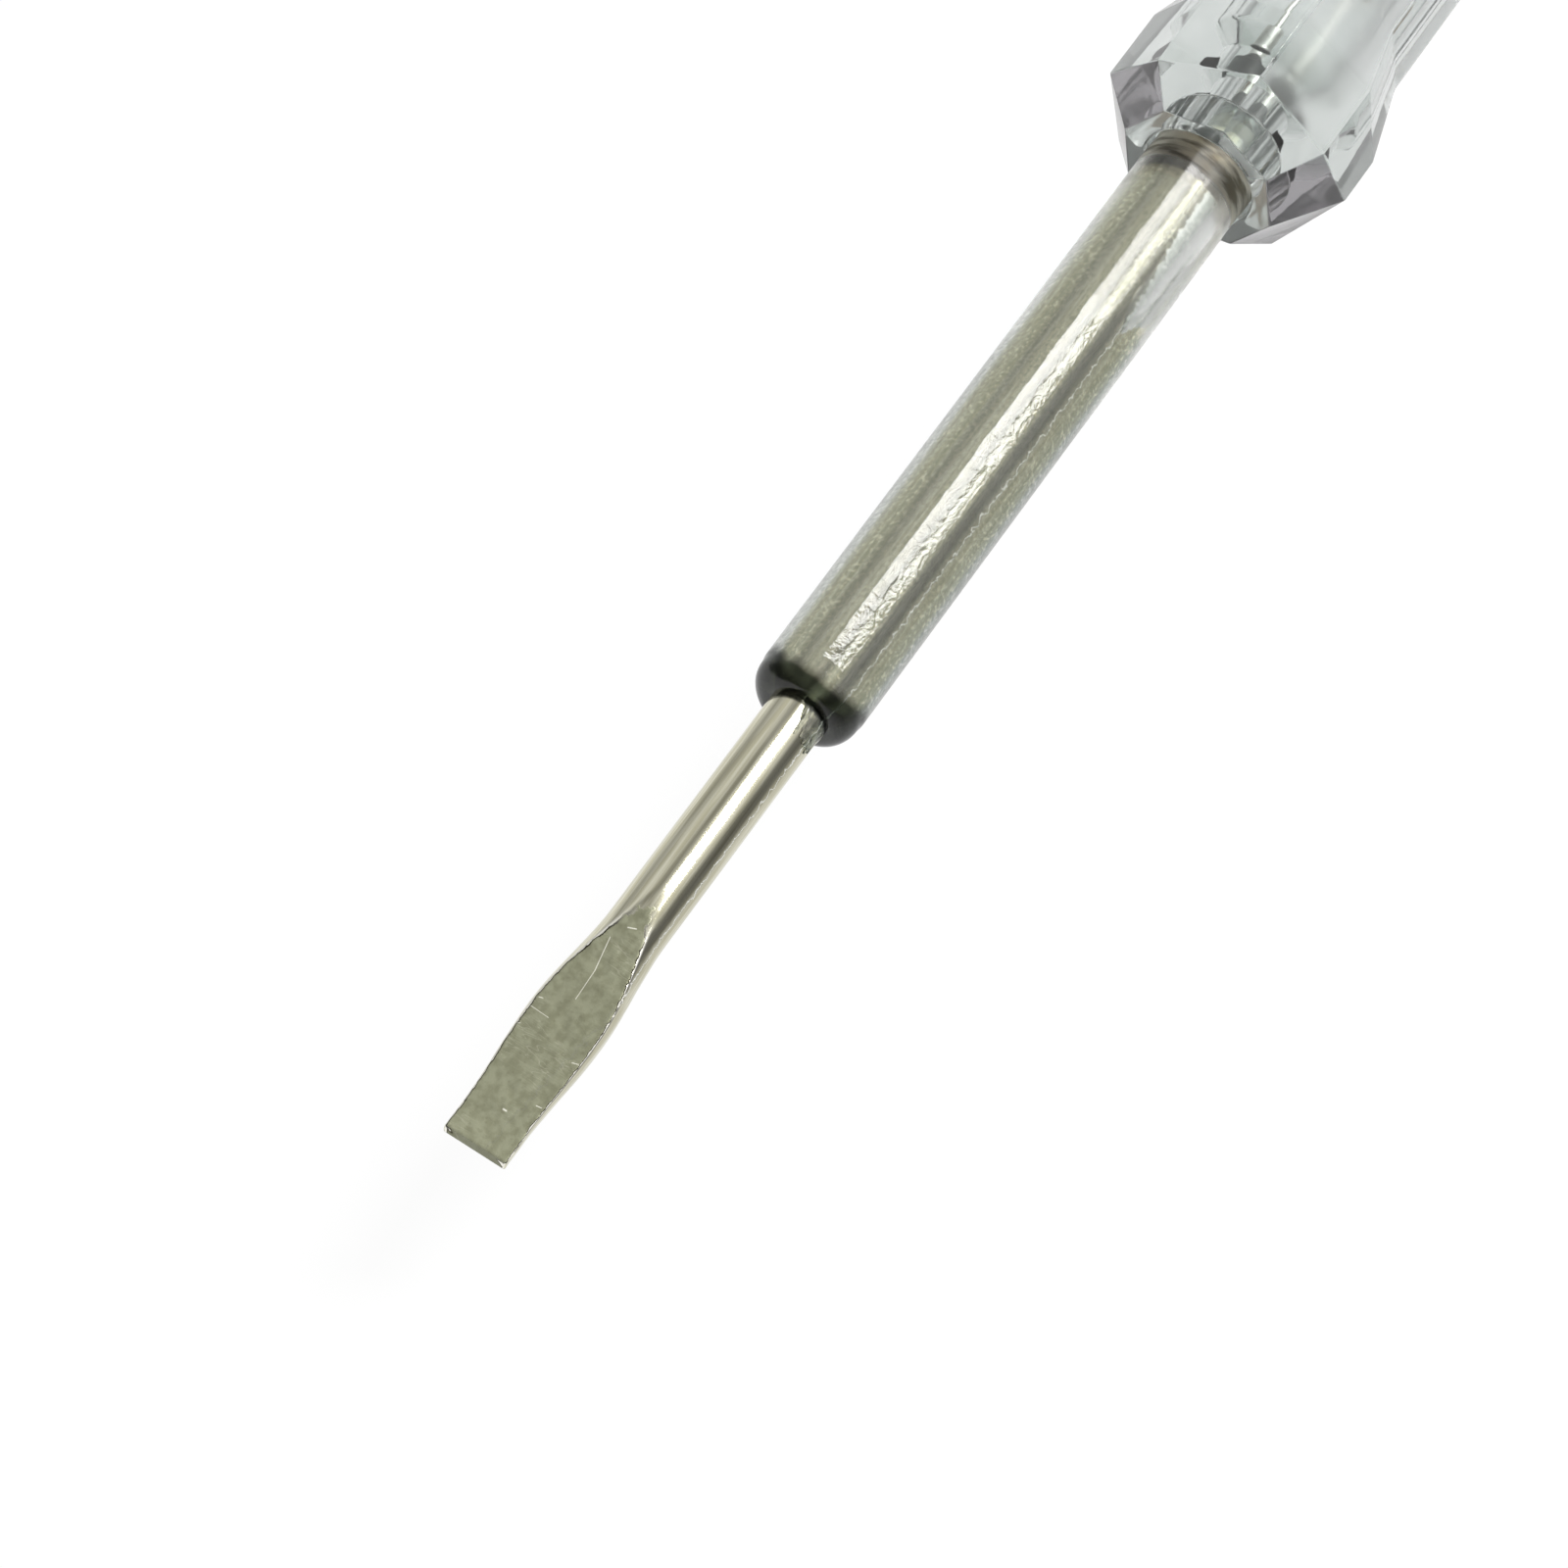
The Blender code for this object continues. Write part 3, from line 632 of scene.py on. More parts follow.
def bladeMaterial():
    material, tree, output = startMaterial("nickelPlate")
    place = toolPlace(tree)
    flat = addNode(tree, "ShaderNodeAttribute", attribute_name="flat").outputs["Fac"]
    grain = useGroup(tree, grainGroup, {"Vector": place, "Along": 180.0, "Across": 5200.0}).outputs[0]
    cloud = addNode(tree, "ShaderNodeTexNoise", {"Vector": place, "Scale": 2200.0, "Detail": 8.0}).outputs["Fac"]
    marks = useGroup(tree, scratchGroup, {"Vector": place, "Scale": 420.0, "Amount": 0.55})
    scratches = None
    # The scratches that the flat shows: start and end, as (from the tip, across)
    for start, end, width in (
        ((7.11, 1.70), (7.07, 0.71), 0.02), ((8.54, 0.20), (10.21, 0.25), 0.022),
        ((10.21, 0.25), (11.99, 0.58), 0.03), ((2.17, -0.08), (2.17, -0.21), 0.07),
        ((12.85, 0.17), (13.0, -0.18), 0.045), ((3.16, -1.18), (3.2, -1.44), 0.03),
        ((5.84, -1.37), (5.93, -1.64), 0.03), ((6.03, 1.75), (6.12, 1.62), 0.03),
        ((7.68, 1.61), (7.73, 1.44), 0.03),
    ):
        mask = useGroup(tree, markGroup, {
            "Vector": place, "Start": onFlat(start[0] * mm, start[1] * mm),
            "End": onFlat(end[0] * mm, end[1] * mm), "Width": width * mm,
        }).outputs[0]
        scratches = mask if scratches is None else mathNode(tree, "MAXIMUM", scratches, mask)
    rodColour = blendNode(tree, rangeNode(tree, grain, 0.38, 0.62), (0.60, 0.575, 0.42), (0.75, 0.73, 0.58))
    # At the handle's mouth the rod is satin and painted brown, a painted reflection of the dark handle front, and past
    # the sleeve it is painted nearly black as painted shade
    along = addNode(tree, "ShaderNodeSeparateXYZ", {0: place}).outputs[0]
    dull = rangeNode(tree, along, tipX + 64.4 * mm, tipX + 64.8 * mm)
    # Painted brown reflection of the dark handle front, darker at its front end
    paintedBrownMask = mathNode(tree, "MULTIPLY", rangeNode(tree, along, tipX + 64.4 * mm, tipX + 64.6 * mm),
                     rangeNode(tree, along, tipX + 67.3 * mm, tipX + 67.6 * mm, 1.0, 0.0))
    paintedBrownReflection = blendNode(tree, rangeNode(tree, along, tipX + 64.6 * mm, tipX + 66.8 * mm),
                        (0.05, 0.038, 0.022), (0.19, 0.15, 0.085))
    rodColour = blendNode(tree, paintedBrownMask, rodColour, paintedBrownReflection)
    # Painted shade: past the sleeve the rod is painted nearly black
    paintedDarkEnd = rangeNode(tree, along, tipX + 68.7 * mm, tipX + 69.0 * mm)
    rodColour = blendNode(tree, paintedDarkEnd, rodColour, (0.014, 0.012, 0.012))
    # A painted white reflection on the rod's lower side in front of the handle: diffuse white, not metal
    split = addNode(tree, "ShaderNodeSeparateXYZ", {0: place})
    turn = mathNode(tree, "ARCTAN2", mathNode(tree, "MULTIPLY", split.outputs[1], -1.0), split.outputs[2])
    waver = mathNode(tree, "MULTIPLY", mathNode(tree, "SUBTRACT", cloud, 0.5), 24 * degree)
    turn = mathNode(tree, "ADD", turn, waver)
    upper = rangeNode(tree, along, tipX + 54.9 * mm, tipX + 63.0 * mm, 74 * degree, 53 * degree)
    lower = rangeNode(tree, along, tipX + 54.9 * mm, tipX + 57.5 * mm, 78 * degree, 135 * degree)
    paintedWhiteReflection = mathNode(tree, "MULTIPLY",
                     rangeNode(tree, mathNode(tree, "SUBTRACT", turn, upper), 0.0, 2.5 * degree),
                     rangeNode(tree, mathNode(tree, "SUBTRACT", lower, turn), 0.0, 2.5 * degree))
    paintedWhiteReflection = mathNode(tree, "MULTIPLY", paintedWhiteReflection, rangeNode(tree, along, tipX + 64.4 * mm, tipX + 64.6 * mm, 1.0, 0.0))
    rodColour = blendNode(tree, paintedWhiteReflection, rodColour, (0.93, 0.95, 0.94))
    flatColour = blendNode(tree, rangeNode(tree, cloud, 0.35, 0.65), (0.235, 0.238, 0.160), (0.290, 0.296, 0.208))
    flatColour = blendNode(tree, mathNode(tree, "MULTIPLY", marks.outputs["Lines"], 0.5), flatColour,
                           (0.62, 0.61, 0.5))
    flatColour = blendNode(tree, mathNode(tree, "MULTIPLY", marks.outputs["Pits"], 0.35), flatColour,
                           (0.14, 0.13, 0.08))
    flatColour = blendNode(tree, mathNode(tree, "MULTIPLY", scratches, 0.9), flatColour, (0.95, 0.94, 0.84))
    # The flats end in a painted highlight along a ragged edge, with a painted dark reflection line behind it
    onEdge = mathNode(tree, "MULTIPLY", flat, mathNode(tree, "SUBTRACT", 1.0, flat))
    tooth = mathNode(tree, "MULTIPLY", mathNode(tree, "SUBTRACT", cloud, 0.5), 3.6)
    ragged = mathNode(tree, "ADD", flat, mathNode(tree, "MULTIPLY", tooth, onEdge))
    fades = rangeNode(tree, along, tipX + 12.0 * mm, tipX + 14.2 * mm, 1.0, 0.0)
    edge = mathNode(tree, "MULTIPLY", rangeNode(tree, ragged, 0.08, 0.20), fades)
    line = mathNode(tree, "MULTIPLY", rangeNode(tree, ragged, 0.52, 0.58), fades)
    flat = rangeNode(tree, ragged, 0.66, 0.74)
    colour = blendNode(tree, edge, rodColour, (0.97, 0.95, 0.86))
    colour = blendNode(tree, line, colour, (0.07, 0.065, 0.04))
    colour = blendNode(tree, flat, colour, flatColour)
    rodRough = mathNode(tree, "ADD", mathNode(tree, "MULTIPLY", grain, 0.10), rangeNode(tree, dull, 0, 1, 0.09, 0.55))
    flatRough = mathNode(tree, "ADD", mathNode(tree, "MULTIPLY", cloud, 0.2), 0.36)
    rough = rangeNode(tree, flat, 0.0, 1.0, rodRough, flatRough, smooth=False)
    height = mathNode(tree, "ADD", mathNode(tree, "MULTIPLY", grain, 0.7), mathNode(tree, "MULTIPLY", cloud, flat))
    height = mathNode(tree, "SUBTRACT", height, mathNode(tree, "MULTIPLY", marks.outputs["Lines"], 0.6))
    shader = addNode(tree, "ShaderNodeBsdfPrincipled", {
        "Base Color": colour, "Roughness": rangeNode(tree, paintedWhiteReflection, 0.0, 1.0, rough, 0.6, smooth=False),
        "Metallic": rangeNode(tree, paintedWhiteReflection, 0.0, 1.0, 1.0, 0.0), "Normal": bumpNode(tree, height, 0.003 * mm),
    })
    tree.links.new(shader.outputs[0], output.inputs[0])
    return material


makeBlade(bladeMaterial())


# Sleeve

sleeve = {
    "radius": 2.8 * mm,
    "bore": 1.49 * mm,  # the tube grips the rod
    "nose": 1.25 * mm,
    "lip": 0.15 * mm,
    "shoulder": 0.06 * mm,  # the nose eases into the full radius along this step
    "shoulderLength": 0.45 * mm,
    "endChamfer": 0.15 * mm,
    "ripple": 0.006 * mm,
    "sides": 216,
    "outerRuns": 260,
    "innerRuns": 110,
    # A drawn tube isn't quite round. Its radius changes by these steps at angles from overhead towards -Y.
    "outOfRound": (
        (12.5, 0.090 * mm), (25.0, -0.029 * mm), (28.0, -0.056 * mm), (31.0, -0.075 * mm), (36.0, -0.090 * mm),
        (372.5, 0.090 * mm),
    ),
    "waver": 2.0,  # how far those angles waver along the tube, in degrees
    # Painted bands of highlight and shade along the tube, each at an angle like those, with its half width and its tint
    "streaks": (
        (-13.7, 2.5, (0.42, 0.45, 0.41)), (5.5, 8.0, (0.84, 0.865, 0.82)), (19.0, 4.0, (0.97, 0.98, 0.95)),
        (26.5, 1.6, (0.50, 0.52, 0.48)), (37.3, 2.4, (0.36, 0.375, 0.34)), (52.0, 9.0, (0.98, 0.99, 0.96)), (83.0, 12.0, (0.38, 0.43, 0.40)),
        (194.0, 11.0, (0.12, 0.15, 0.135)),
    ),
    # Near the handle the bore stands off the rod's lower side, which looks white there, also through a painted white
    # reflection on the rod
    "gap": 0.045 * mm,
    "gapFrom": 54.9 * mm,
    "gapTurn": 80.0,
    "skirtReach": 2.1 * mm,  # the flash that creeps along the rod from the nose
    "skirtThickness": 0.13 * mm,
}


def outOfRound(turn):
    steps = sleeve["outOfRound"]
    turn = (turn - steps[0][0]) % 360 + steps[0][0]
    for (start, low), (end, high) in zip(steps, steps[1:]):
        if turn <= end:
            return between(low, high, (turn - start) / (end - start))


def gapShare(x, turn):
    # How far the bore stands off the rod at a place along the tool and round it
    from_start = x - sleeve["gapFrom"]
    half = 4 + 16 * ease(from_start / (1.6 * mm)) + 22 * ease((from_start - 4 * mm) / (4 * mm))
    half += 7 * noise.noise(Vector((x * 900, turn / 15, 0)))
    start = ease(from_start / (0.4 * mm))
    return start * ease((half - abs(turn - sleeve["gapTurn"])) / 3 + 0.5)


def makeSkirt():
    # A thin clear flash on the rod, open towards the camera's lower side
    made = bmesh.new()
    rings = []
    columns, rows = 60, 14
    for column in range(columns + 1):
        turn = between(22.0, 118.0, column / columns)
        open_share = ease((turn - 22.0) / 26.0) * ease((118.0 - turn) / 22.0)
        ragged = 0.75 + 0.45 * noise.noise(Vector((turn / 9, 3.0, 0))) + 0.2 * noise.noise(Vector((turn / 3, 7.0, 0)))
        reach = sleeve["skirtReach"] * open_share * ragged + 0.05 * mm
        back = sleeveLow.x + 0.35 * mm
        ring = []
        for face in (0, 1):
            for row in range(rows + 1):
                share = row / rows if face == 0 else 1 - row / rows
                x = between(back, sleeveLow.x - reach, share)
                thick = sleeve["skirtThickness"] * (1 - 0.6 * share) * (0.8 + 0.5 * noise.noise(Vector((x * 2500, turn / 6, 0))))
                out = sleeve["bore"] + (thick + 0.012 * mm if face else 0)
                ring.append((x, -out * math.sin(turn * degree), out * math.cos(turn * degree)))
        rings.append(ring)
    loft(made, rings, capped=True)
    return makePiece("sleeveSkirt", made, smoothAngle=50)


def makeSleeve(material):
    start, end = sleeveLow.x, sleeveHigh.x
    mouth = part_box("handle")[0].x
    outline = [(start, sleeve["bore"])]
    noseSteps = 18
    for step in range(noseSteps + 1):
        turn = math.pi / 2 * step / noseSteps
        out = between(sleeve["bore"] + sleeve["lip"], sleeve["radius"] - sleeve["shoulder"], math.sin(turn))
        outline.append((start + sleeve["nose"] * (1 - math.cos(turn)), out))
    for step in range(1, sleeve["outerRuns"]):
        x = between(start + sleeve["nose"], end - sleeve["endChamfer"], step / sleeve["outerRuns"])
        eased = ease((x - start - sleeve["nose"]) / sleeve["shoulderLength"])
        outline.append((x, sleeve["radius"] - sleeve["shoulder"] * (1 - eased)))
    outline += [(end - sleeve["endChamfer"], sleeve["radius"]), (end, sleeve["radius"] - sleeve["endChamfer"])]
    for step in range(sleeve["innerRuns"]):
        outline.append((between(end, start, step / sleeve["innerRuns"]), sleeve["bore"]))
    made = bmesh.new()
    clearLayer = made.verts.layers.float.new("clear")
    loft(made, turnedRings(outline, sleeve["sides"]), closed=True)
    for vert in made.verts:
        x, y, z = vert.co
        outward = Vector((0, y, z)).normalized()
        turn = math.atan2(-y, z) / degree
        push = noise.noise(Vector((x * 160, y * 500, z * 500))) * sleeve["ripple"]
        if math.hypot(y, z) < sleeve["bore"] + 0.01 * mm:
            push += sleeve["gap"] * gapShare(x - tipX, turn)
        else:
            waver = 0.6 * noise.noise(Vector((x * 600, 0, 5))) + 0.4 * noise.noise(Vector((x * 3000, turn / 5, 9)))
            shown = ease((x - start) / (0.8 * mm)) * ease((mouth - x) / (0.6 * mm))
            push = 0.6 * push + outOfRound(turn + waver * sleeve["waver"]) * shown
            # The clear attribute marks where the tint is lightened, painted light that brightens the white reflection
            # below
            behind = 26.5 + 1.75 * (turn - 26.5) - 5
            below = ease((turn - 74) / 6) * ease((175 - turn) / 10) * ease((x - tipX - sleeve["gapFrom"]) / mm)
            vert[clearLayer] = max(gapShare(x - tipX - 0.4 * mm, behind), below)
        vert.co += outward * push
    tube = makePiece("sleeveTube", made, smoothAngle=50)
    piece = joinMeshes("clearSleeve", [tube, makeSkirt()], smoothAngle=50)
    return seat(piece, "grip", "clear_sleeve", material, "insulating_sleeve")


def smokyNose(tree, place, colour):
    # The drawn-in nose is nearly black, further back along the tube's sides
    split = addNode(tree, "ShaderNodeSeparateXYZ", {0: place})
    along = split.outputs[0]
    turn = mathNode(tree, "ARCTAN2", mathNode(tree, "MULTIPLY", split.outputs[1], -1.0), split.outputs[2])
    # Painted highlight and shade in bands along the tube, at fixed angles round it
    for angle, half, tint in sleeve["streaks"]:
        away = mathNode(tree, "PINGPONG", mathNode(tree, "SUBTRACT", turn, angle * degree), math.pi)
        paintedBand = rangeNode(tree, away, 0.5 * half * degree, 1.3 * half * degree, 1.0, 0.0)
        colour = blendNode(tree, paintedBand, colour, tint)
    near = addNode(tree, "ShaderNodeVectorMath", {0: place, 1: (0, -0.65, 1.31)}, operation="DOT_PRODUCT").outputs[1]
    cloud = addNode(tree, "ShaderNodeTexNoise", {"Vector": place, "Scale": 900.0, "Detail": 3.0}).outputs["Fac"]
    back = mathNode(tree, "ADD", along, mathNode(tree, "MULTIPLY", near, 0.33))
    back = mathNode(tree, "ADD", back, mathNode(tree, "MULTIPLY", cloud, 0.7 * mm))
    share = rangeNode(tree, back, sleeveLow.x + 2.1 * mm, sleeveLow.x + 2.9 * mm, 1.0, 0.0)
    front = rangeNode(tree, along, sleeveLow.x - 0.25 * mm, sleeveLow.x - 0.02 * mm)
    fleck = addNode(tree, "ShaderNodeTexNoise", {"Vector": place, "Scale": 4500.0, "Detail": 2.0}).outputs["Fac"]
    colour = blendNode(tree, rangeNode(tree, fleck, 0.52, 0.66), colour, (0.86, 0.87, 0.82))
    colour = blendNode(tree, rangeNode(tree, fleck, 0.36, 0.46, 0.35, 0.0), colour, (0.30, 0.31, 0.28))
    # Clearer and whiter where the bore stands off the rod and along the lower side, painted light that brightens the
    # white reflection there; pale in the handle's mouth
    clear = addNode(tree, "ShaderNodeAttribute", attribute_name="clear").outputs["Fac"]
    # Painted highlight: the sleeve is painted pale in the handle's mouth
    paintedPaleHighlight = rangeNode(tree, along, tipX + 67.0 * mm, tipX + 67.3 * mm)
    paintedBrownMask = mathNode(tree, "MULTIPLY", rangeNode(tree, along, tipX + 64.3 * mm, tipX + 64.6 * mm),
                     mathNode(tree, "SUBTRACT", 1.0, paintedPaleHighlight))
    colour = blendNode(tree, clear, colour, (0.97, 0.98, 0.965))
    colour = blendNode(tree, paintedPaleHighlight, colour, (0.95, 0.96, 0.95))
    # Painted brown in front of that, a painted reflection of the dark handle front, over a ringed grain
    rings = useGroup(tree, grainGroup, {"Vector": place, "Along": 2400.0, "Across": 420.0}).outputs[0]
    paintedBrownTone = blendNode(tree, rangeNode(tree, rings, 0.40, 0.62), (0.10, 0.08, 0.045), (0.78, 0.73, 0.60))
    colour = blendNode(tree, paintedBrownMask, colour, paintedBrownTone)
    haze = rangeNode(tree, along, tipX + 52.0 * mm, tipX + 57.0 * mm, 0.04, 0.22)
    return {
        "Base Color": blendNode(tree, mathNode(tree, "MULTIPLY", share, front), colour, (0.01, 0.014, 0.01)),
        "Roughness": rangeNode(tree, paintedBrownMask, 0.0, 1.0, haze, 0.45, smooth=False),
    }


makeSleeve(clearMaterial(
    "sleevePlastic", (0.69, 0.725, 0.685), (0.57, 0.60, 0.56), 1.49, 350.0, 5200.0, 1.0, 0.008 * mm,
    clear=0.91, dress=smokyNose,
))


# Handle

handle = {
    "frontRadius": 4.4 * mm,
    "headRadius": 6.55 * mm,
    "bodyRadius": 5.3 * mm,
    "frontFlank": 2.6 * mm,
    "belt": 4.2 * mm,
    "rearFlank": 4.5 * mm,
    "cornerDrift": (-0.3 * mm, -1.4 * mm, -0.2 * mm, -0.5 * mm, 1.3 * mm, 0, 0, 0),
    "edgeRound": 0.22 * mm,
    "waistRound": 1.6 * mm,
    "cornerRound": 0.04 * mm,
    "guard": 0.05 * mm,
    "mouthRadius": 2.95 * mm,
    "mouthDepth": 3.2 * mm,
    "mouthChamfer": 0.25 * mm,
    "rodBore": 1.6 * mm,
    "chamberFrom": 5.9 * mm,
    "chamberCone": 1.2 * mm,
    "chamberRadius": 2.8 * mm,
    "threadBore": 3.1 * mm,
    "threadLength": 9.0 * mm,
    "facets": 8,
    "cornerPoints": 5,
    "facetPoints": 7,
}


def octagonRing(x, corner, drift):
    # Eight rounded corners joined by flat facets, one of them on top. Corners of the moulded head drift
    # along the tool.
    half = math.pi / handle["facets"]
    arc, flats = handle["cornerPoints"], handle["facetPoints"]
    guard = handle["guard"]
    centre = corner - handle["cornerRound"] / math.cos(half)
    corners = []
    for k in range(handle["facets"]):
        turn = half + 2 * half * k
        points = []
        for i in range(arc):
            angle = turn + half * (2 * i / (arc - 1) - 1)
            points.append(Vector((
                x + handle["cornerDrift"][k] * drift, centre * math.cos(turn) + handle["cornerRound"] * math.cos(angle),
                centre * math.sin(turn) + handle["cornerRound"] * math.sin(angle),
            )))
        corners.append(points)
    ring = []
    for k, points in enumerate(corners):
        ring += points
        start, end = points[-1], corners[(k + 1) % len(corners)][0]
        edge = guard / (end - start).length
        for i in range(flats):
            share = between(edge, 1 - edge, i / (flats - 1))
            ring.append(start.lerp(end, share))
    return ring


def roundRing(x, radius):
    # As many points as the octagon, at even angles that start by its first corner
    count = handle["facets"] * (handle["cornerPoints"] + handle["facetPoints"])
    step = 2 * math.pi / count
    first = math.pi / handle["facets"] - step * (handle["cornerPoints"] - 1) / 2
    return [(x, radius * math.cos(first + step * i), radius * math.sin(first + step * i)) for i in range(count)]


def makeHandle(material):
    low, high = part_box("handle")
    front, rear = low.x, high.x
    beltFront = front + handle["frontFlank"]
    beltRear = beltFront + handle["belt"]
    soft = handle["edgeRound"]
    outer = rounded([
        (front, handle["frontRadius"] - 0.5 * mm, 0),
        (front, handle["frontRadius"] - 0.1 * mm, soft / 2),
        (beltFront, handle["headRadius"], soft),
        (beltRear, handle["headRadius"], soft),
        (beltRear + handle["rearFlank"], handle["bodyRadius"], handle["waistRound"]),
        (rear, handle["bodyRadius"], soft),
        (rear, handle["bodyRadius"] - 1 * mm, 0),
    ], steps=5, guard=handle["guard"])
    mouthEnd = front + handle["mouthDepth"]
    chamber = front + handle["chamberFrom"]
    thread = rear - handle["threadLength"]
    bore = rounded([
        (rear, handle["threadBore"] + 0.6 * mm, 0),
        (rear, handle["threadBore"], 0.15 * mm),
        (thread, handle["threadBore"], 0.1 * mm),
        (thread, handle["chamberRadius"], 0.1 * mm),
        (chamber + handle["chamberCone"], handle["chamberRadius"], 0.5 * mm),
        (chamber, handle["rodBore"], 0.2 * mm),
        (mouthEnd, handle["rodBore"], 0.1 * mm),
        (mouthEnd, handle["mouthRadius"], 0.25 * mm),
        (front, handle["mouthRadius"], handle["mouthChamfer"]),
        (front, handle["mouthRadius"] + 0.5 * mm, 0),
    ], steps=4, guard=handle["guard"])
    rings = []
    for x, r in outer:
        drift = min((x - front) / handle["frontFlank"], (beltRear - x) / handle["belt"], 1)
        rings.append(octagonRing(x, r, max(drift, 0)))
    rings += [roundRing(x, r) for x, r in bore]
    made = bmesh.new()
    flankLayer = made.verts.layers.float.new("flank")
    innerLayer = made.verts.layers.float.new("inner")
    for ring, (x, r) in zip(loft(made, rings, closed=True), outer + bore):
        for vert in ring:
            vert[flankLayer] = 1.0 if r > handle["frontRadius"] - 0.2 * mm and x < beltFront - soft / 4 else 0.0
            vert[innerLayer] = 1.0 if r < handle["threadBore"] + 0.1 * mm else 0.0
    piece = makePiece("crystalHandle", made, smoothAngle=40)
    return seat(piece, "grip", "clear_handle", material, "handle")


def cutFacets(tree, place, colour):
    # The front facets at the sides are painted dark as painted shade, and the facet below the camera's corner is worn
    # dull
    flank = addNode(tree, "ShaderNodeAttribute", attribute_name="flank").outputs["Fac"]
    split = addNode(tree, "ShaderNodeSeparateXYZ", {0: place})
    turn = mathNode(tree, "ARCTAN2", mathNode(tree, "MULTIPLY", split.outputs[1], -1.0), split.outputs[2])
    away = mathNode(tree, "ABSOLUTE", mathNode(tree, "SUBTRACT", turn, 45 * degree))
    worn = mathNode(tree, "MULTIPLY", rangeNode(tree, away, 20 * degree, 22.5 * degree, 1.0, 0.0),
                    rangeNode(tree, flank, 0, 1, 1, 0))
    side = mathNode(tree, "ABSOLUTE", mathNode(tree, "SUBTRACT", turn, 22.5 * degree))
    paintedShade = mathNode(tree, "MULTIPLY", rangeNode(tree, side, 44 * degree, 46 * degree), flank)
    head = rangeNode(tree, split.outputs[0], tipX + 72.4 * mm, tipX + 73.6 * mm, 0.9, 0.0)
    colour = blendNode(tree, head, colour, (0.62, 0.665, 0.64))
    # Its bores are glassy, its outside is satin
    inner = addNode(tree, "ShaderNodeAttribute", attribute_name="inner").outputs["Fac"]
    outside = mathNode(tree, "LESS_THAN", inner, 0.5)
    return {
        "Base Color": blendNode(tree, paintedShade, colour, (0.17, 0.155, 0.17)),
        "Roughness": mathNode(tree, "MULTIPLY", rangeNode(tree, worn, 0, 1, 0.06, 0.34), outside),
    }


makeHandle(clearMaterial(
    "handlePlastic", (0.90, 0.92, 0.91), (0.80, 0.83, 0.82), 1.5, 260.0, 1600.0, 0.35, 0.012 * mm,
    clear=0.94, dress=cutFacets,
))


# Resistor and its wires

resistor = {
    "endRadius": 1.7 * mm,
    "waistRadius": 1.45 * mm,
    "bulge": 2.1 * mm,
    "step": 0.6 * mm,
    "wireRadius": 0.3 * mm,
    "solder": 1.25 * mm,
    "paintedDarkEnd": 0.72 * mm,  # the front wire's end is painted as dark as the rod's, as painted shade
    "tinnedRadius": 0.7 * mm,
    "tinnedLength": 3.2 * mm,
}


def resistorMaterial():
    # A tan coat with four rings of colour, which any resistor has
    material, tree, output = startMaterial("resistorCoat")
    place = toolPlace(tree)
    along = addNode(tree, "ShaderNodeSeparateXYZ", {0: place}).outputs[0]
    low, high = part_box("resistor_body")
    mottle = addNode(tree, "ShaderNodeTexNoise", {"Vector": place, "Scale": 1500.0, "Detail": 4.0}).outputs["Fac"]
    wobble = mathNode(tree, "MULTIPLY", mathNode(tree, "SUBTRACT", mottle, 0.5), 0.12 * mm)
    along = mathNode(tree, "ADD", along, wobble)
    colour = blendNode(tree, mottle, (0.44, 0.29, 0.15), (0.58, 0.42, 0.26))
    length = high.x - low.x
    for share, ring in ((0.14, (0.20, 0.09, 0.03)), (0.34, (0.02, 0.02, 0.02)), (0.5, (0.62, 0.50, 0.02)),
                        (0.84, (0.55, 0.40, 0.12))):
        middle = low.x + length * share
        away = mathNode(tree, "ABSOLUTE", mathNode(tree, "SUBTRACT", along, middle))
        mask = rangeNode(tree, away, 0.36 * mm, 0.42 * mm, 1.0, 0.0)
        colour = blendNode(tree, mask, colour, ring)
    shader = addNode(tree, "ShaderNodeBsdfPrincipled", {
        "Base Color": colour, "Roughness": rangeNode(tree, mottle, 0.3, 0.7, 0.32, 0.5),
        "Coat Weight": 0.3, "Coat Roughness": 0.15, "Normal": bumpNode(tree, mottle, 0.01 * mm),
    })
    tree.links.new(shader.outputs[0], output.inputs[0])
    return material


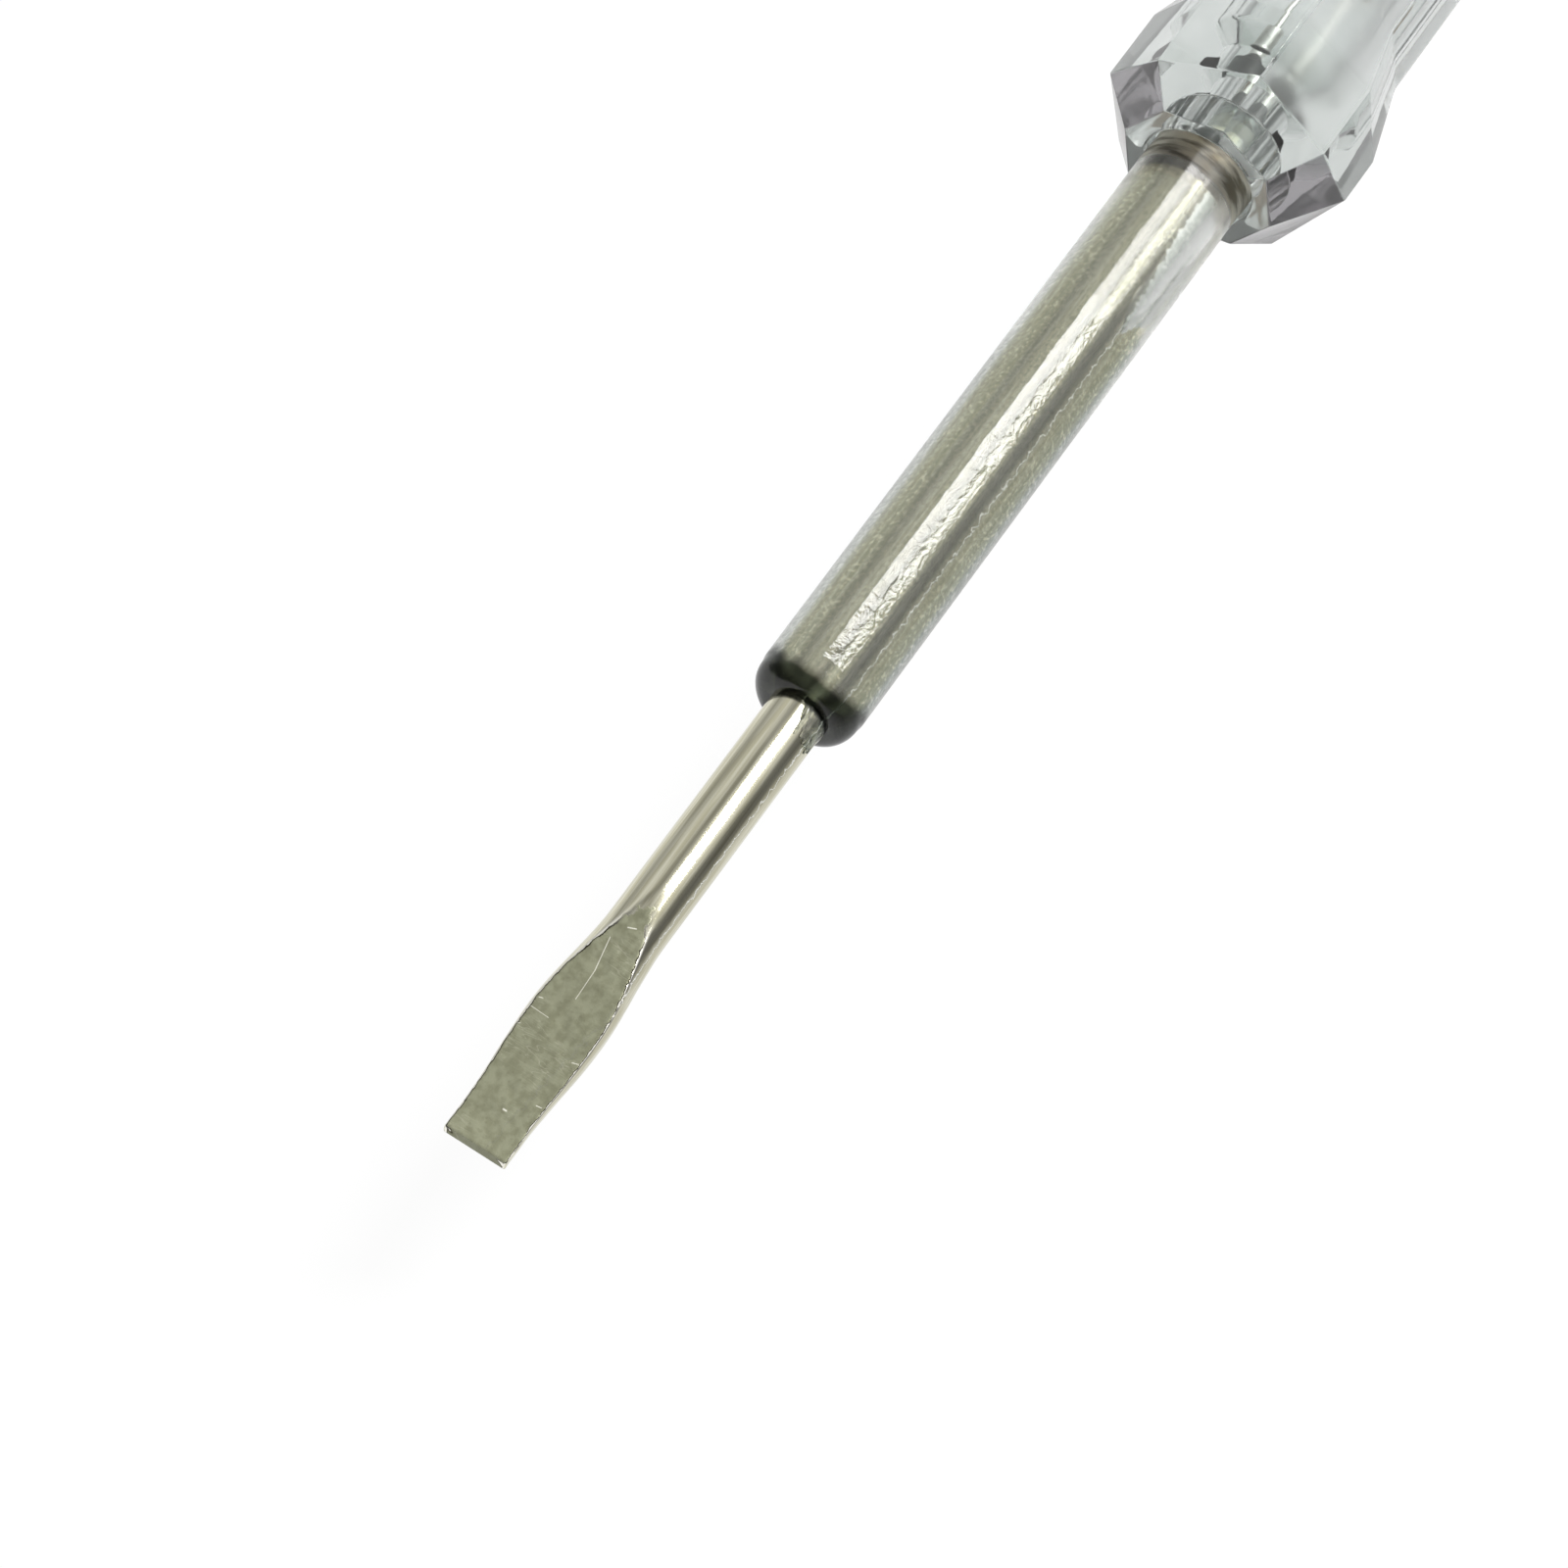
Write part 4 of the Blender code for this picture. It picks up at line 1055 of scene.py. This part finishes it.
def makeResistor():
    low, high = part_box("resistor_body")
    big, waist = resistor["endRadius"], resistor["waistRadius"]
    half = [(0, resistor["wireRadius"], 0), (0, big, 0.55 * mm), (resistor["bulge"], big, 0.6 * mm),
            (resistor["bulge"] + resistor["step"], waist, 0.6 * mm)]
    length = high.x - low.x
    outline = [(low.x + x, r, f) for x, r, f in half]
    outline += [(low.x + length - x, r, f) for x, r, f in reversed(half)]
    points = [(low.x, 0)] + rounded(outline, steps=8) + [(high.x, 0)]
    seat(turnedPiece("resistorBody", points, 64), "grip", "resistor_coat", resistorMaterial(), "resistor_body")
    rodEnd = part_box("blade")[1].x
    wire = metalMaterial("tinnedWire", (0.96, 0.95, 0.92), (0.88, 0.87, 0.82), 0.45, paintedShadeUntil=rodEnd + resistor["paintedDarkEnd"])
    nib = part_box("neon_cap_front")[0].x
    spans = (
        ("frontLead", rodEnd, low.x, "resistor_lead_front"),
        ("rearLead", high.x, nib, "resistor_lead_rear"),
    )
    for name, start, end, node in spans:
        thin, blob = resistor["wireRadius"], resistor["solder"]
        thick, tinned = resistor["tinnedRadius"], resistor["tinnedLength"]
        outline = rounded([
            (start, 0, 0), (start, blob, 0.25 * mm), (start + 0.8 * mm, thick, 0.3 * mm),
            (start + tinned - 0.4 * mm, thick, 0.2 * mm), (start + tinned, thin, 0.2 * mm), (end - 0.9 * mm, thin, 0.3 * mm), (end, blob * 0.8, 0.25 * mm), (end, 0, 0),
        ], steps=6)
        seat(turnedPiece(name, outline, 32), "grip", "tinned_wire", wire, node)


makeResistor()


# Neon lamp

lamp = {
    "glassRadius": 2.1 * mm,
    "wall": 0.35 * mm,
    "capRadius": 2.5 * mm,
    "capFloor": 0.6 * mm,
    "capDepth": 2.7 * mm,
    "nibRadius": 0.8 * mm,
    "nibLength": 0.8 * mm,
    "plateRadius": 0.35 * mm,
    "beads": 3,
}


def makeLamp():
    glassLow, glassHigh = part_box("neon_glass")
    outer, inner = lamp["glassRadius"], lamp["glassRadius"] - lamp["wall"]
    outline = rounded([
        (glassLow.x, inner, 0.1 * mm), (glassLow.x, outer, 0.15 * mm), (glassHigh.x, outer, 0.15 * mm),
        (glassHigh.x, inner, 0.1 * mm), (glassLow.x + 0.1 * mm, inner, 0.1 * mm),
    ], steps=4, guard=0.05 * mm)
    glass = clearMaterial("lampGlass", (0.985, 0.99, 0.99), (0.96, 0.97, 0.97), 1.5, 200.0, 900.0, 0.1, 0.002 * mm)
    seat(turnedPiece("lampTube", outline, 72, closed=True), "grip", "lamp_glass", glass, "neon_glass")

    capMetal = metalMaterial("lampCapMetal", (0.80, 0.79, 0.75), (0.62, 0.60, 0.55), 0.22, along=2500.0)
    plate = metalMaterial("electrodeMetal", (0.42, 0.41, 0.39), (0.30, 0.29, 0.27), 0.42)
    for end in ("front", "rear"):
        low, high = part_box("neon_cap_" + end)
        way = 1 if end == "front" else -1
        tip = low.x if way > 0 else high.x
        inside = outer + 0.12 * mm
        shape = [
            (0, 0, 0), (0, lamp["nibRadius"], 0.25 * mm),
            (lamp["nibLength"], lamp["nibRadius"] + 0.1 * mm, 0.12 * mm),
            (lamp["nibLength"], lamp["capRadius"], 0.3 * mm),
            (lamp["nibLength"] + 0.6 * lamp["capDepth"], lamp["capRadius"] - 0.06 * mm, 0.1 * mm),
            (lamp["nibLength"] + lamp["capDepth"], lamp["capRadius"], 0.08 * mm),
            (lamp["nibLength"] + lamp["capDepth"], inside, 0.05 * mm),
            (lamp["nibLength"] + lamp["capFloor"], inside, 0.1 * mm),
            (lamp["nibLength"] + lamp["capFloor"], 0, 0),
        ]
        points = [(tip + way * x, r) for x, r in rounded(shape, steps=5)]
        cap = turnedPiece("lampCap" + end.capitalize(), points, 72)
        seat(cap, "grip", "lamp_cap_metal", capMetal, "neon_cap_" + end)

        low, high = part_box("neon_electrode_" + end)
        lift = (low.z + high.z) / 2 - axisHeight
        root, point = (low.x, high.x) if way > 0 else (high.x, low.x)
        thin, thick = lamp["plateRadius"] * 0.45, lamp["plateRadius"]
        shoulder = between(root, point, 0.42)
        shape = [(0, 0, 0), (0, thin, 0), (abs(shoulder - root), thin, 0.1 * mm),
                 (abs(shoulder - root) + 0.3 * mm, thick, 0.15 * mm), (abs(point - root), thick, 0.2 * mm),
                 (abs(point - root), 0, 0)]
        made = bmesh.new()
        loft(made, turnedRings([(root + way * x, r) for x, r in rounded(shape, steps=4)], 28))
        bmesh.ops.translate(made, verts=made.verts, vec=(0, 0, lift))
        rod = makePiece("electrode" + end.capitalize(), made)
        seat(rod, "grip", "electrode_metal", plate, "neon_electrode_" + end)


makeLamp()


# Geometry Nodes for what winds and what repeats

def makeTree(name, inputs):
    tree = bpy.data.node_groups.new(name, "GeometryNodeTree")
    tree.interface.new_socket(name="Geometry", in_out="INPUT", socket_type="NodeSocketGeometry")
    tree.interface.new_socket(name="Geometry", in_out="OUTPUT", socket_type="NodeSocketGeometry")
    for title, kind, value in inputs:
        socket = tree.interface.new_socket(name=title, in_out="INPUT", socket_type=kind)
        if value is not None:
            socket.default_value = value
    return tree, addNode(tree, "NodeGroupInput"), addNode(tree, "NodeGroupOutput")


def endTree(tree, given, result, geometry):
    smooth = addNode(tree, "GeometryNodeSetShadeSmooth", {"Geometry": geometry})
    real = addNode(tree, "GeometryNodeRealizeInstances", {"Geometry": smooth.outputs[0]})
    dressed = addNode(tree, "GeometryNodeSetMaterial", {
        "Geometry": real.outputs[0], "Material": given.outputs["Material"],
    })
    tree.links.new(dressed.outputs[0], result.inputs[0])
    return tree


def buildWindingTree():
    # A wire wound round X, with closed turns at both ends
    tree, given, result = makeTree("wireWinding", [
        ("Coil Radius", "NodeSocketFloat", 2 * mm), ("Wire Radius", "NodeSocketFloat", 0.2 * mm),
        ("Length", "NodeSocketFloat", 20 * mm), ("Turns", "NodeSocketFloat", 10.0),
        ("Closed Turns", "NodeSocketFloat", 1.0), ("Steps", "NodeSocketInt", 400),
        ("Sides", "NodeSocketInt", 12), ("Material", "NodeSocketMaterial", None),
    ])
    line = addNode(tree, "GeometryNodeCurvePrimitiveLine", {"End": (1, 0, 0)})
    fine = addNode(tree, "GeometryNodeResampleCurve", {"Curve": line.outputs[0], "Count": given.outputs["Steps"]})
    share = addNode(tree, "GeometryNodeSplineParameter").outputs["Factor"]
    turned = mathNode(tree, "MULTIPLY", share, given.outputs["Turns"])
    angle = mathNode(tree, "MULTIPLY", turned, 2 * math.pi)
    snug = mathNode(tree, "MULTIPLY", given.outputs["Wire Radius"], 2.1)
    closed = mathNode(tree, "DIVIDE", given.outputs["Closed Turns"], given.outputs["Turns"])
    opened = addNode(tree, "ShaderNodeMapRange", {
        "Value": share, "From Min": closed, "From Max": mathNode(tree, "SUBTRACT", 1.0, closed),
    }).outputs[0]
    free = mathNode(tree, "SUBTRACT", given.outputs["Length"], mathNode(tree, "MULTIPLY", given.outputs["Turns"], snug))
    along = mathNode(tree, "ADD", mathNode(tree, "MULTIPLY", turned, snug), mathNode(tree, "MULTIPLY", opened, free))
    place = addNode(tree, "ShaderNodeCombineXYZ", {
        "X": along,
        "Y": mathNode(tree, "MULTIPLY", given.outputs["Coil Radius"], mathNode(tree, "COSINE", angle)),
        "Z": mathNode(tree, "MULTIPLY", given.outputs["Coil Radius"], mathNode(tree, "SINE", angle)),
    })
    wound = addNode(tree, "GeometryNodeSetPosition", {"Geometry": fine.outputs[0], "Position": place.outputs[0]})
    section = addNode(tree, "GeometryNodeCurvePrimitiveCircle", {
        "Resolution": given.outputs["Sides"], "Radius": given.outputs["Wire Radius"],
    })
    wire = addNode(tree, "GeometryNodeCurveToMesh", {
        "Curve": wound.outputs[0], "Profile Curve": section.outputs[0], "Fill Caps": True,
    })
    return endTree(tree, given, result, wire.outputs[0])


def buildKnurlTree():
    # Straight ribs round X, evenly spaced
    tree, given, result = makeTree("straightKnurl", [
        ("Rim Radius", "NodeSocketFloat", 4 * mm), ("Rib Radius", "NodeSocketFloat", 0.2 * mm),
        ("Rib Length", "NodeSocketFloat", 3 * mm), ("Count", "NodeSocketInt", 48),
        ("Middle", "NodeSocketFloat", 0.0), ("Material", "NodeSocketMaterial", None),
    ])
    points = addNode(tree, "GeometryNodePoints", {"Count": given.outputs["Count"]})
    number = addNode(tree, "GeometryNodeInputIndex").outputs[0]
    angle = mathNode(tree, "DIVIDE", mathNode(tree, "MULTIPLY", number, 2 * math.pi), given.outputs["Count"])
    place = addNode(tree, "ShaderNodeCombineXYZ", {
        "X": given.outputs["Middle"],
        "Y": mathNode(tree, "MULTIPLY", given.outputs["Rim Radius"], mathNode(tree, "COSINE", angle)),
        "Z": mathNode(tree, "MULTIPLY", given.outputs["Rim Radius"], mathNode(tree, "SINE", angle)),
    })
    spread = addNode(tree, "GeometryNodeSetPosition", {"Geometry": points.outputs[0], "Position": place.outputs[0]})
    rib = addNode(tree, "GeometryNodeMeshCylinder", {
        "Vertices": 6, "Side Segments": 1, "Radius": given.outputs["Rib Radius"], "Depth": given.outputs["Rib Length"],
    })
    laid = addNode(tree, "GeometryNodeTransform", {
        "Geometry": rib.outputs[0], "Rotation": (0, math.pi / 2, 0),
    })
    turn = addNode(tree, "ShaderNodeCombineXYZ", {"X": angle})
    ribs = addNode(tree, "GeometryNodeInstanceOnPoints", {
        "Points": spread.outputs[0], "Instance": laid.outputs[0], "Rotation": turn.outputs[0],
    })
    return endTree(tree, given, result, ribs.outputs[0])


def grow(name, tree, values, at):
    # Runs a tree on an empty mesh and keeps what it makes, moved along the axis to where it belongs
    piece = bpy.data.objects.new(name, bpy.data.meshes.new(name))
    bpy.context.scene.collection.objects.link(piece)
    modifier = piece.modifiers.new(name, "NODES")
    modifier.node_group = tree
    for item in tree.interface.items_tree:
        if item.item_type == "SOCKET" and item.in_out == "INPUT" and item.name in values:
            modifier[item.identifier] = values[item.name]
    applyModifiers(piece, smoothAngle=40)
    piece.data.transform(Matrix.Translation((at, 0, axisHeight)))
    return piece


windingTree = buildWindingTree()
knurlTree = buildKnurlTree()
print("geometry trees built")


# Contact spring

spring = {
    "wireRadius": 0.225 * mm,
    "turns": 14.5,
    "closedTurns": 1.25,
    "steps": 700,
}


def makeSpring(material):
    low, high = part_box("contact_spring")
    coil = (high.z - low.z) / 2 - spring["wireRadius"]
    cupFloor = high.x + 0.3 * mm - 0.02 * mm
    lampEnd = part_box("neon_cap_rear")[1].x - lamp["nibLength"]
    start = lampEnd + spring["wireRadius"]
    piece = grow("contactSpring", windingTree, {
        "Coil Radius": coil, "Wire Radius": spring["wireRadius"], "Length": cupFloor - start - spring["wireRadius"],
        "Turns": spring["turns"], "Closed Turns": spring["closedTurns"], "Steps": spring["steps"],
        "Sides": 12, "Material": material,
    }, start)
    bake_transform(piece)
    return seat(piece, None, "spring_steel", material, "contact_spring")


makeSpring(metalMaterial("springSteel", (0.74, 0.72, 0.66), (0.52, 0.50, 0.45), 0.2, along=3000.0))


# End cap

cap = {
    "threadRadius": 2.95 * mm,
    "rootRadius": 2.55 * mm,
    "pitch": 0.8 * mm,
    "cupRadius": 2.4 * mm,
    "cupDepth": 4.0 * mm,
    "headRadius": 4.7 * mm,
    "headLength": 4.4 * mm,
    "neckLength": 1.1 * mm,
    "edgeRound": 0.7 * mm,
    "dome": 0.3 * mm,
    "slotWidth": 1.2 * mm,
    "slotDepth": 1.0 * mm,
    "ribs": 54,
    "ribRadius": 0.2 * mm,
}


def makeCap(material):
    low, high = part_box("end_cap")
    front, end = low.x, high.x
    head = end - cap["headLength"]
    rim = cap["headRadius"] - cap["ribRadius"] * 0.6
    outline = rounded([
        (front + cap["cupDepth"], 0, 0), (front + cap["cupDepth"], cap["cupRadius"], 0.2 * mm),
        (front, cap["cupRadius"], 0.08 * mm), (front, cap["rootRadius"], 0.1 * mm),
        (head - cap["neckLength"], cap["rootRadius"], 0.1 * mm),
        (head - cap["neckLength"] + 0.3 * mm, cap["threadRadius"] - 0.05 * mm, 0.1 * mm),
        (head, cap["threadRadius"] - 0.05 * mm, 0.05 * mm), (head, rim - 0.1 * mm, 0.1 * mm),
        (head + 0.3 * mm, rim, 0.15 * mm), (end - cap["dome"], rim, cap["edgeRound"]),
        (end, cap["cupRadius"], 0.6 * mm), (end, 0, 0),
    ], steps=7, guard=0.04 * mm)
    body = turnedPiece("knurledCap", outline, 120)
    cutter = bmesh.new()
    bmesh.ops.create_cube(cutter, size=1.0)
    slotSize = (2 * cap["slotDepth"], cap["slotWidth"], 3 * cap["headRadius"])
    bmesh.ops.scale(cutter, vec=slotSize, verts=cutter.verts)
    bmesh.ops.translate(cutter, vec=(end, 0, 0), verts=cutter.verts)
    combine(body, makePiece("coinSlot", cutter), "DIFFERENCE")
    edge = body.modifiers.new("brokenEdges", "BEVEL")
    edge.width = 0.07 * mm
    edge.segments = 2
    edge.limit_method = "ANGLE"
    edge.angle_limit = 50 * degree
    applyModifiers(body)

    knurlLength = cap["headLength"] - cap["edgeRound"] - 0.9 * mm
    ribs = grow("capRibs", knurlTree, {
        "Rim Radius": cap["headRadius"] - cap["ribRadius"], "Rib Radius": cap["ribRadius"],
        "Rib Length": knurlLength, "Count": cap["ribs"], "Middle": 0.0, "Material": material,
    }, head + 0.45 * mm + knurlLength / 2)
    threadLength = head - cap["neckLength"] - front - 0.7 * mm
    ridge = 0.24 * mm
    thread = grow("capThread", windingTree, {
        "Coil Radius": cap["threadRadius"] - ridge, "Wire Radius": ridge, "Length": threadLength,
        "Turns": threadLength / cap["pitch"], "Closed Turns": 0.0, "Steps": 520, "Sides": 8, "Material": material,
    }, front + 0.35 * mm)
    piece = joinMeshes("knurledCap", [body, ribs, thread])
    return seat(piece, "cap", "plated_brass", material, "end_cap")


makeCap(metalMaterial("capNickel", (0.80, 0.77, 0.70), (0.64, 0.61, 0.53), 0.16, along=1500.0, across=1500.0))


# Pocket clip

clip = {
    "thickness": 0.5 * mm,
    "width": 4.4 * mm,
    "tipWidth": 3.4 * mm,
    "bend": 0.9 * mm,
    "root": 0.6 * mm,
    "standOff": 1.6 * mm,
    "bow": 0.6 * mm,
    "reach": 36.0 * mm,
    "toe": 3.6 * mm,
    "toeLift": 1.1 * mm,
    "seatGap": 0.3 * mm,
    "ringBore": 3.1 * mm,
    "ringRadius": 4.7 * mm,
    "edgeRound": 0.12 * mm,
    "beadWidth": 1.5 * mm,
    "beadHeight": 0.16 * mm,
}


def clipPath():
    # The strip's middle line as (x, height over the axis, width), from the ring to the toe
    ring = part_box("clip_ring")[1].x - clip["thickness"] / 2
    body = handle["bodyRadius"] * math.cos(math.pi / handle["facets"])
    height = body + clip["standOff"] + clip["thickness"] / 2
    wide = clip["width"]
    path = [(ring, between(clip["ringBore"], clip["ringRadius"], 0.5), wide), (ring, height - clip["bend"], wide)]
    bendSteps = 10
    for step in range(1, bendSteps + 1):
        turn = math.pi / 2 * step / bendSteps
        path.append((ring - clip["bend"] * (1 - math.cos(turn)), height - clip["bend"] * (1 - math.sin(turn)), wide))
    hinge = ring - clip["bend"] - clip["root"] - clip["seatGap"]
    drop = clip["standOff"] - clip["seatGap"]
    runSteps, toeSteps = 72, 14
    for step in range(runSteps + 1):
        share = step / runSteps
        bow = clip["bow"] * math.sin(math.pi * share) - drop * ease(share)
        path.append((hinge - clip["reach"] * share, height + bow, between(wide, clip["tipWidth"], share)))
    for step in range(1, toeSteps + 1):
        share = step / toeSteps
        across = clip["tipWidth"] * math.sqrt(max(1 - share ** 2.6, 0.03))
        path.append((hinge - clip["reach"] - clip["toe"] * share, height - drop + clip["toeLift"] * share ** 2, across))
    return path, hinge, height


def makeClip(material):
    path, hinge, height = clipPath()
    made = bmesh.new()
    rings = []
    soft, half = clip["edgeRound"], clip["thickness"] / 2
    for i, (x, z, width) in enumerate(path):
        before, after = path[max(i - 1, 0)], path[min(i + 1, len(path) - 1)]
        way = Vector((after[0] - before[0], 0, after[1] - before[1])).normalized()
        out = Vector((-way.z, 0, way.x)) * (-1 if way.x < 0 else 1)
        if abs(way.x) < 0.3:
            out = Vector((1, 0, 0))
        side = width / 2
        # A pressed bead stiffens the tongue's middle
        bead = clip["beadHeight"] * ease((hinge - x) / (3 * mm)) * ease((x - hinge + clip["reach"]) / (4 * mm))
        section = []
        columns = 16
        for face in (1, -1):
            for k in range(columns + 1):
                share = 2 * k / columns - 1
                y = share * (side - soft) * face
                lift = bead * (1 - ease(abs(y) / (clip["beadWidth"] / 2)))
                section.append((y, face * half + lift))
            for turn in (0.35, 0.75, 1.15):
                section.append((face * (side - soft + soft * math.sin(turn)),
                                face * (half - soft + soft * math.cos(turn))))
            section.append((face * side, 0))
            for turn in (1.15, 0.75, 0.35):
                section.append((face * (side - soft + soft * math.sin(turn)),
                                -face * (half - soft + soft * math.cos(turn))))
        rings.append([Vector((x, y, z)) + out * lift for y, lift in section])
    loft(made, rings, capped=True)
    strip = makePiece("pocketClip", made, smoothAngle=45)
    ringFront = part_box("clip_ring")[1].x - clip["thickness"]
    ringRear = ringFront + clip["thickness"]
    outline = rounded([
        (ringFront, clip["ringBore"] + 0.5 * mm, 0), (ringFront, clip["ringRadius"], 0.1 * mm),
        (ringRear, clip["ringRadius"], 0.1 * mm), (ringRear, clip["ringBore"], 0.1 * mm),
        (ringFront, clip["ringBore"], 0.1 * mm), (ringFront, clip["ringBore"] + 0.4 * mm, 0),
    ], steps=3)
    ring = turnedPiece("clipRing", outline, 96, closed=True)
    combine(strip, ring)
    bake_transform(strip)
    return seat(strip, None, "spring_steel", material, "clip_ring", "clip_tongue")


makeClip(metalMaterial("clipNickel", (0.78, 0.76, 0.70), (0.62, 0.60, 0.53), 0.17, along=300.0, across=3500.0))


# Studio

studio = {
    "floorRadius": 500 * mm,
    "keyRadiance": 15.0,
    "keyDistance": 900 * mm,
    "keyAcross": 400 * mm,
    "keyAlong": 330 * mm,
    "keyAlongShare": 0.62,  # how far the key light leans towards the handle
    "keyTurn": 33.0,  # its angle round the tool, from overhead towards -Y
    "fillLevel": 0.40,
    "tipSideLevel": 0.15,
    "floorGlow": 0.86,
    "floorWhite": 1.07,
    # What metal and clear plastic see of the floor, by distance from the tool towards -Y
    "floorBands": ((0, 0.92), (5, 0.80), (12, 0.50), (20, 0.20), (40, 0.14)),
}


def makeFloor():
    made = bmesh.new()
    bmesh.ops.create_circle(made, cap_ends=True, segments=96, radius=studio["floorRadius"])
    floor = makePiece("studioFloor", made, centred=True)
    floor.data.transform(Matrix.Translation((0, 0, -0.01 * mm)))
    material, tree, output = startMaterial("whiteFloor")
    place = addNode(tree, "ShaderNodeTexCoord").outputs["Object"]
    tooth = addNode(tree, "ShaderNodeTexNoise", {"Vector": place, "Scale": 300.0, "Detail": 3.0}).outputs["Fac"]
    matt = addNode(tree, "ShaderNodeBsdfPrincipled", {
        "Base Color": blendNode(tree, tooth, (0.84, 0.84, 0.84), (0.88, 0.88, 0.88)), "Roughness": 0.9,
        "Specular IOR Level": 0.1,
    })
    path = addNode(tree, "ShaderNodeLightPath")
    camera = path.outputs["Is Camera Ray"]
    bounced = mathNode(tree, "MAXIMUM", path.outputs["Is Glossy Ray"], path.outputs["Is Transmission Ray"])
    # Metal and clear plastic see the floor darken away from the tool on the camera's side
    across = addNode(tree, "ShaderNodeSeparateXYZ", {0: place}).outputs[1]
    furthest = studio["floorBands"][-1][0]
    share = mathNode(tree, "DIVIDE", across, -furthest * mm, clamp=True)
    away = rampNode(tree, share, [(far / furthest, level) for far, level in studio["floorBands"]])
    level = rangeNode(tree, camera, 0.0, 1.0, away, studio["floorWhite"], smooth=False)
    glow = addNode(tree, "ShaderNodeEmission", {"Color": (1, 1, 1, 1), "Strength": level})
    mix = addNode(tree, "ShaderNodeMixShader", {
        0: mathNode(tree, "MAXIMUM", bounced, mathNode(tree, "MULTIPLY", camera, studio["floorGlow"])),
        1: matt.outputs[0], 2: glow.outputs[0],
    })
    tree.links.new(mix.outputs[0], output.inputs[0])
    floor.data.materials.append(material)


def makeKey():
    turn = studio["keyTurn"] * degree
    lean = math.sqrt(1 - studio["keyAlongShare"] ** 2)
    way = Vector((studio["keyAlongShare"], -math.sin(turn) * lean, math.cos(turn) * lean))
    area = studio["keyAcross"] * studio["keyAlong"]
    data = bpy.data.lights.new("keyPanel", "AREA")
    data.shape = "RECTANGLE"
    data.size = studio["keyAcross"]
    data.size_y = studio["keyAlong"]
    data.energy = studio["keyRadiance"] * math.pi * area
    data.color = (1.0, 0.995, 0.98)
    key = bpy.data.objects.new("keyPanel", data)
    key.location = way * studio["keyDistance"]
    side = Vector((0, -math.cos(turn), -math.sin(turn)))
    up = way.cross(side).normalized()
    key.matrix_world = Matrix.Translation(key.location) @ Matrix((side, up, way)).transposed().to_4x4()
    key.visible_camera = False
    key.visible_transmission = False
    bpy.context.scene.collection.objects.link(key)


def makeWorld():
    # White to the camera. Metal and clear plastic see a studio: bands of light and shade round the tool.
    world = bpy.data.worlds.new("studioWorld")
    bpy.context.scene.world = world
    world.use_nodes = True
    tree = world.node_tree
    tree.nodes.clear()
    way = addNode(tree, "ShaderNodeTexCoord").outputs["Generated"]
    split = addNode(tree, "ShaderNodeSeparateXYZ", {0: way})
    angle = mathNode(tree, "ARCTAN2", mathNode(tree, "MULTIPLY", split.outputs[1], -1.0), split.outputs[2])
    share = mathNode(tree, "ADD", mathNode(tree, "DIVIDE", angle, 2 * math.pi), 0.5)
    # Angles round the tool, in degrees from overhead towards -Y, each with its brightness
    bands = (
        (-180, 0.70), (-104, 0.82), (-86, 0.68), (-66, 0.38), (-48, 0.56), (-31, 0.80), (-16, 0.66),
        (-4, 0.34), (4, 0.34), (12, 0.60), (56, 0.95), (68, 0.60), (78, 0.20), (90, 0.15), (108, 0.18),
        (124, 0.50), (150, 0.68), (180, 0.70),
    )
    studioLight = rampNode(tree, share, [(degrees / 360 + 0.5, level) for degrees, level in bands])
    # Beyond the tip the studio is dark
    dim = rangeNode(tree, split.outputs[0], -0.35, 0.25, studio["tipSideLevel"], 1.0)
    studioLight = addNode(tree, "ShaderNodeVectorMath", {0: studioLight, "Scale": dim}, operation="SCALE").outputs[0]
    path = addNode(tree, "ShaderNodeLightPath")
    mirrored = mathNode(tree, "ADD", path.outputs["Is Glossy Ray"], path.outputs["Is Transmission Ray"], clamp=True)
    fill = (studio["fillLevel"],) * 3
    colour = blendNode(tree, mirrored, fill, studioLight)
    colour = blendNode(tree, path.outputs["Is Camera Ray"], colour, (1.0, 1.0, 1.0))
    sky = addNode(tree, "ShaderNodeBackground", {"Color": colour, "Strength": 1.0})
    out = addNode(tree, "ShaderNodeOutputWorld")
    tree.links.new(sky.outputs[0], out.inputs[0])


makeFloor()
makeKey()
makeWorld()
bpy.context.scene.view_settings.view_transform = "Standard"
print("studio lit")
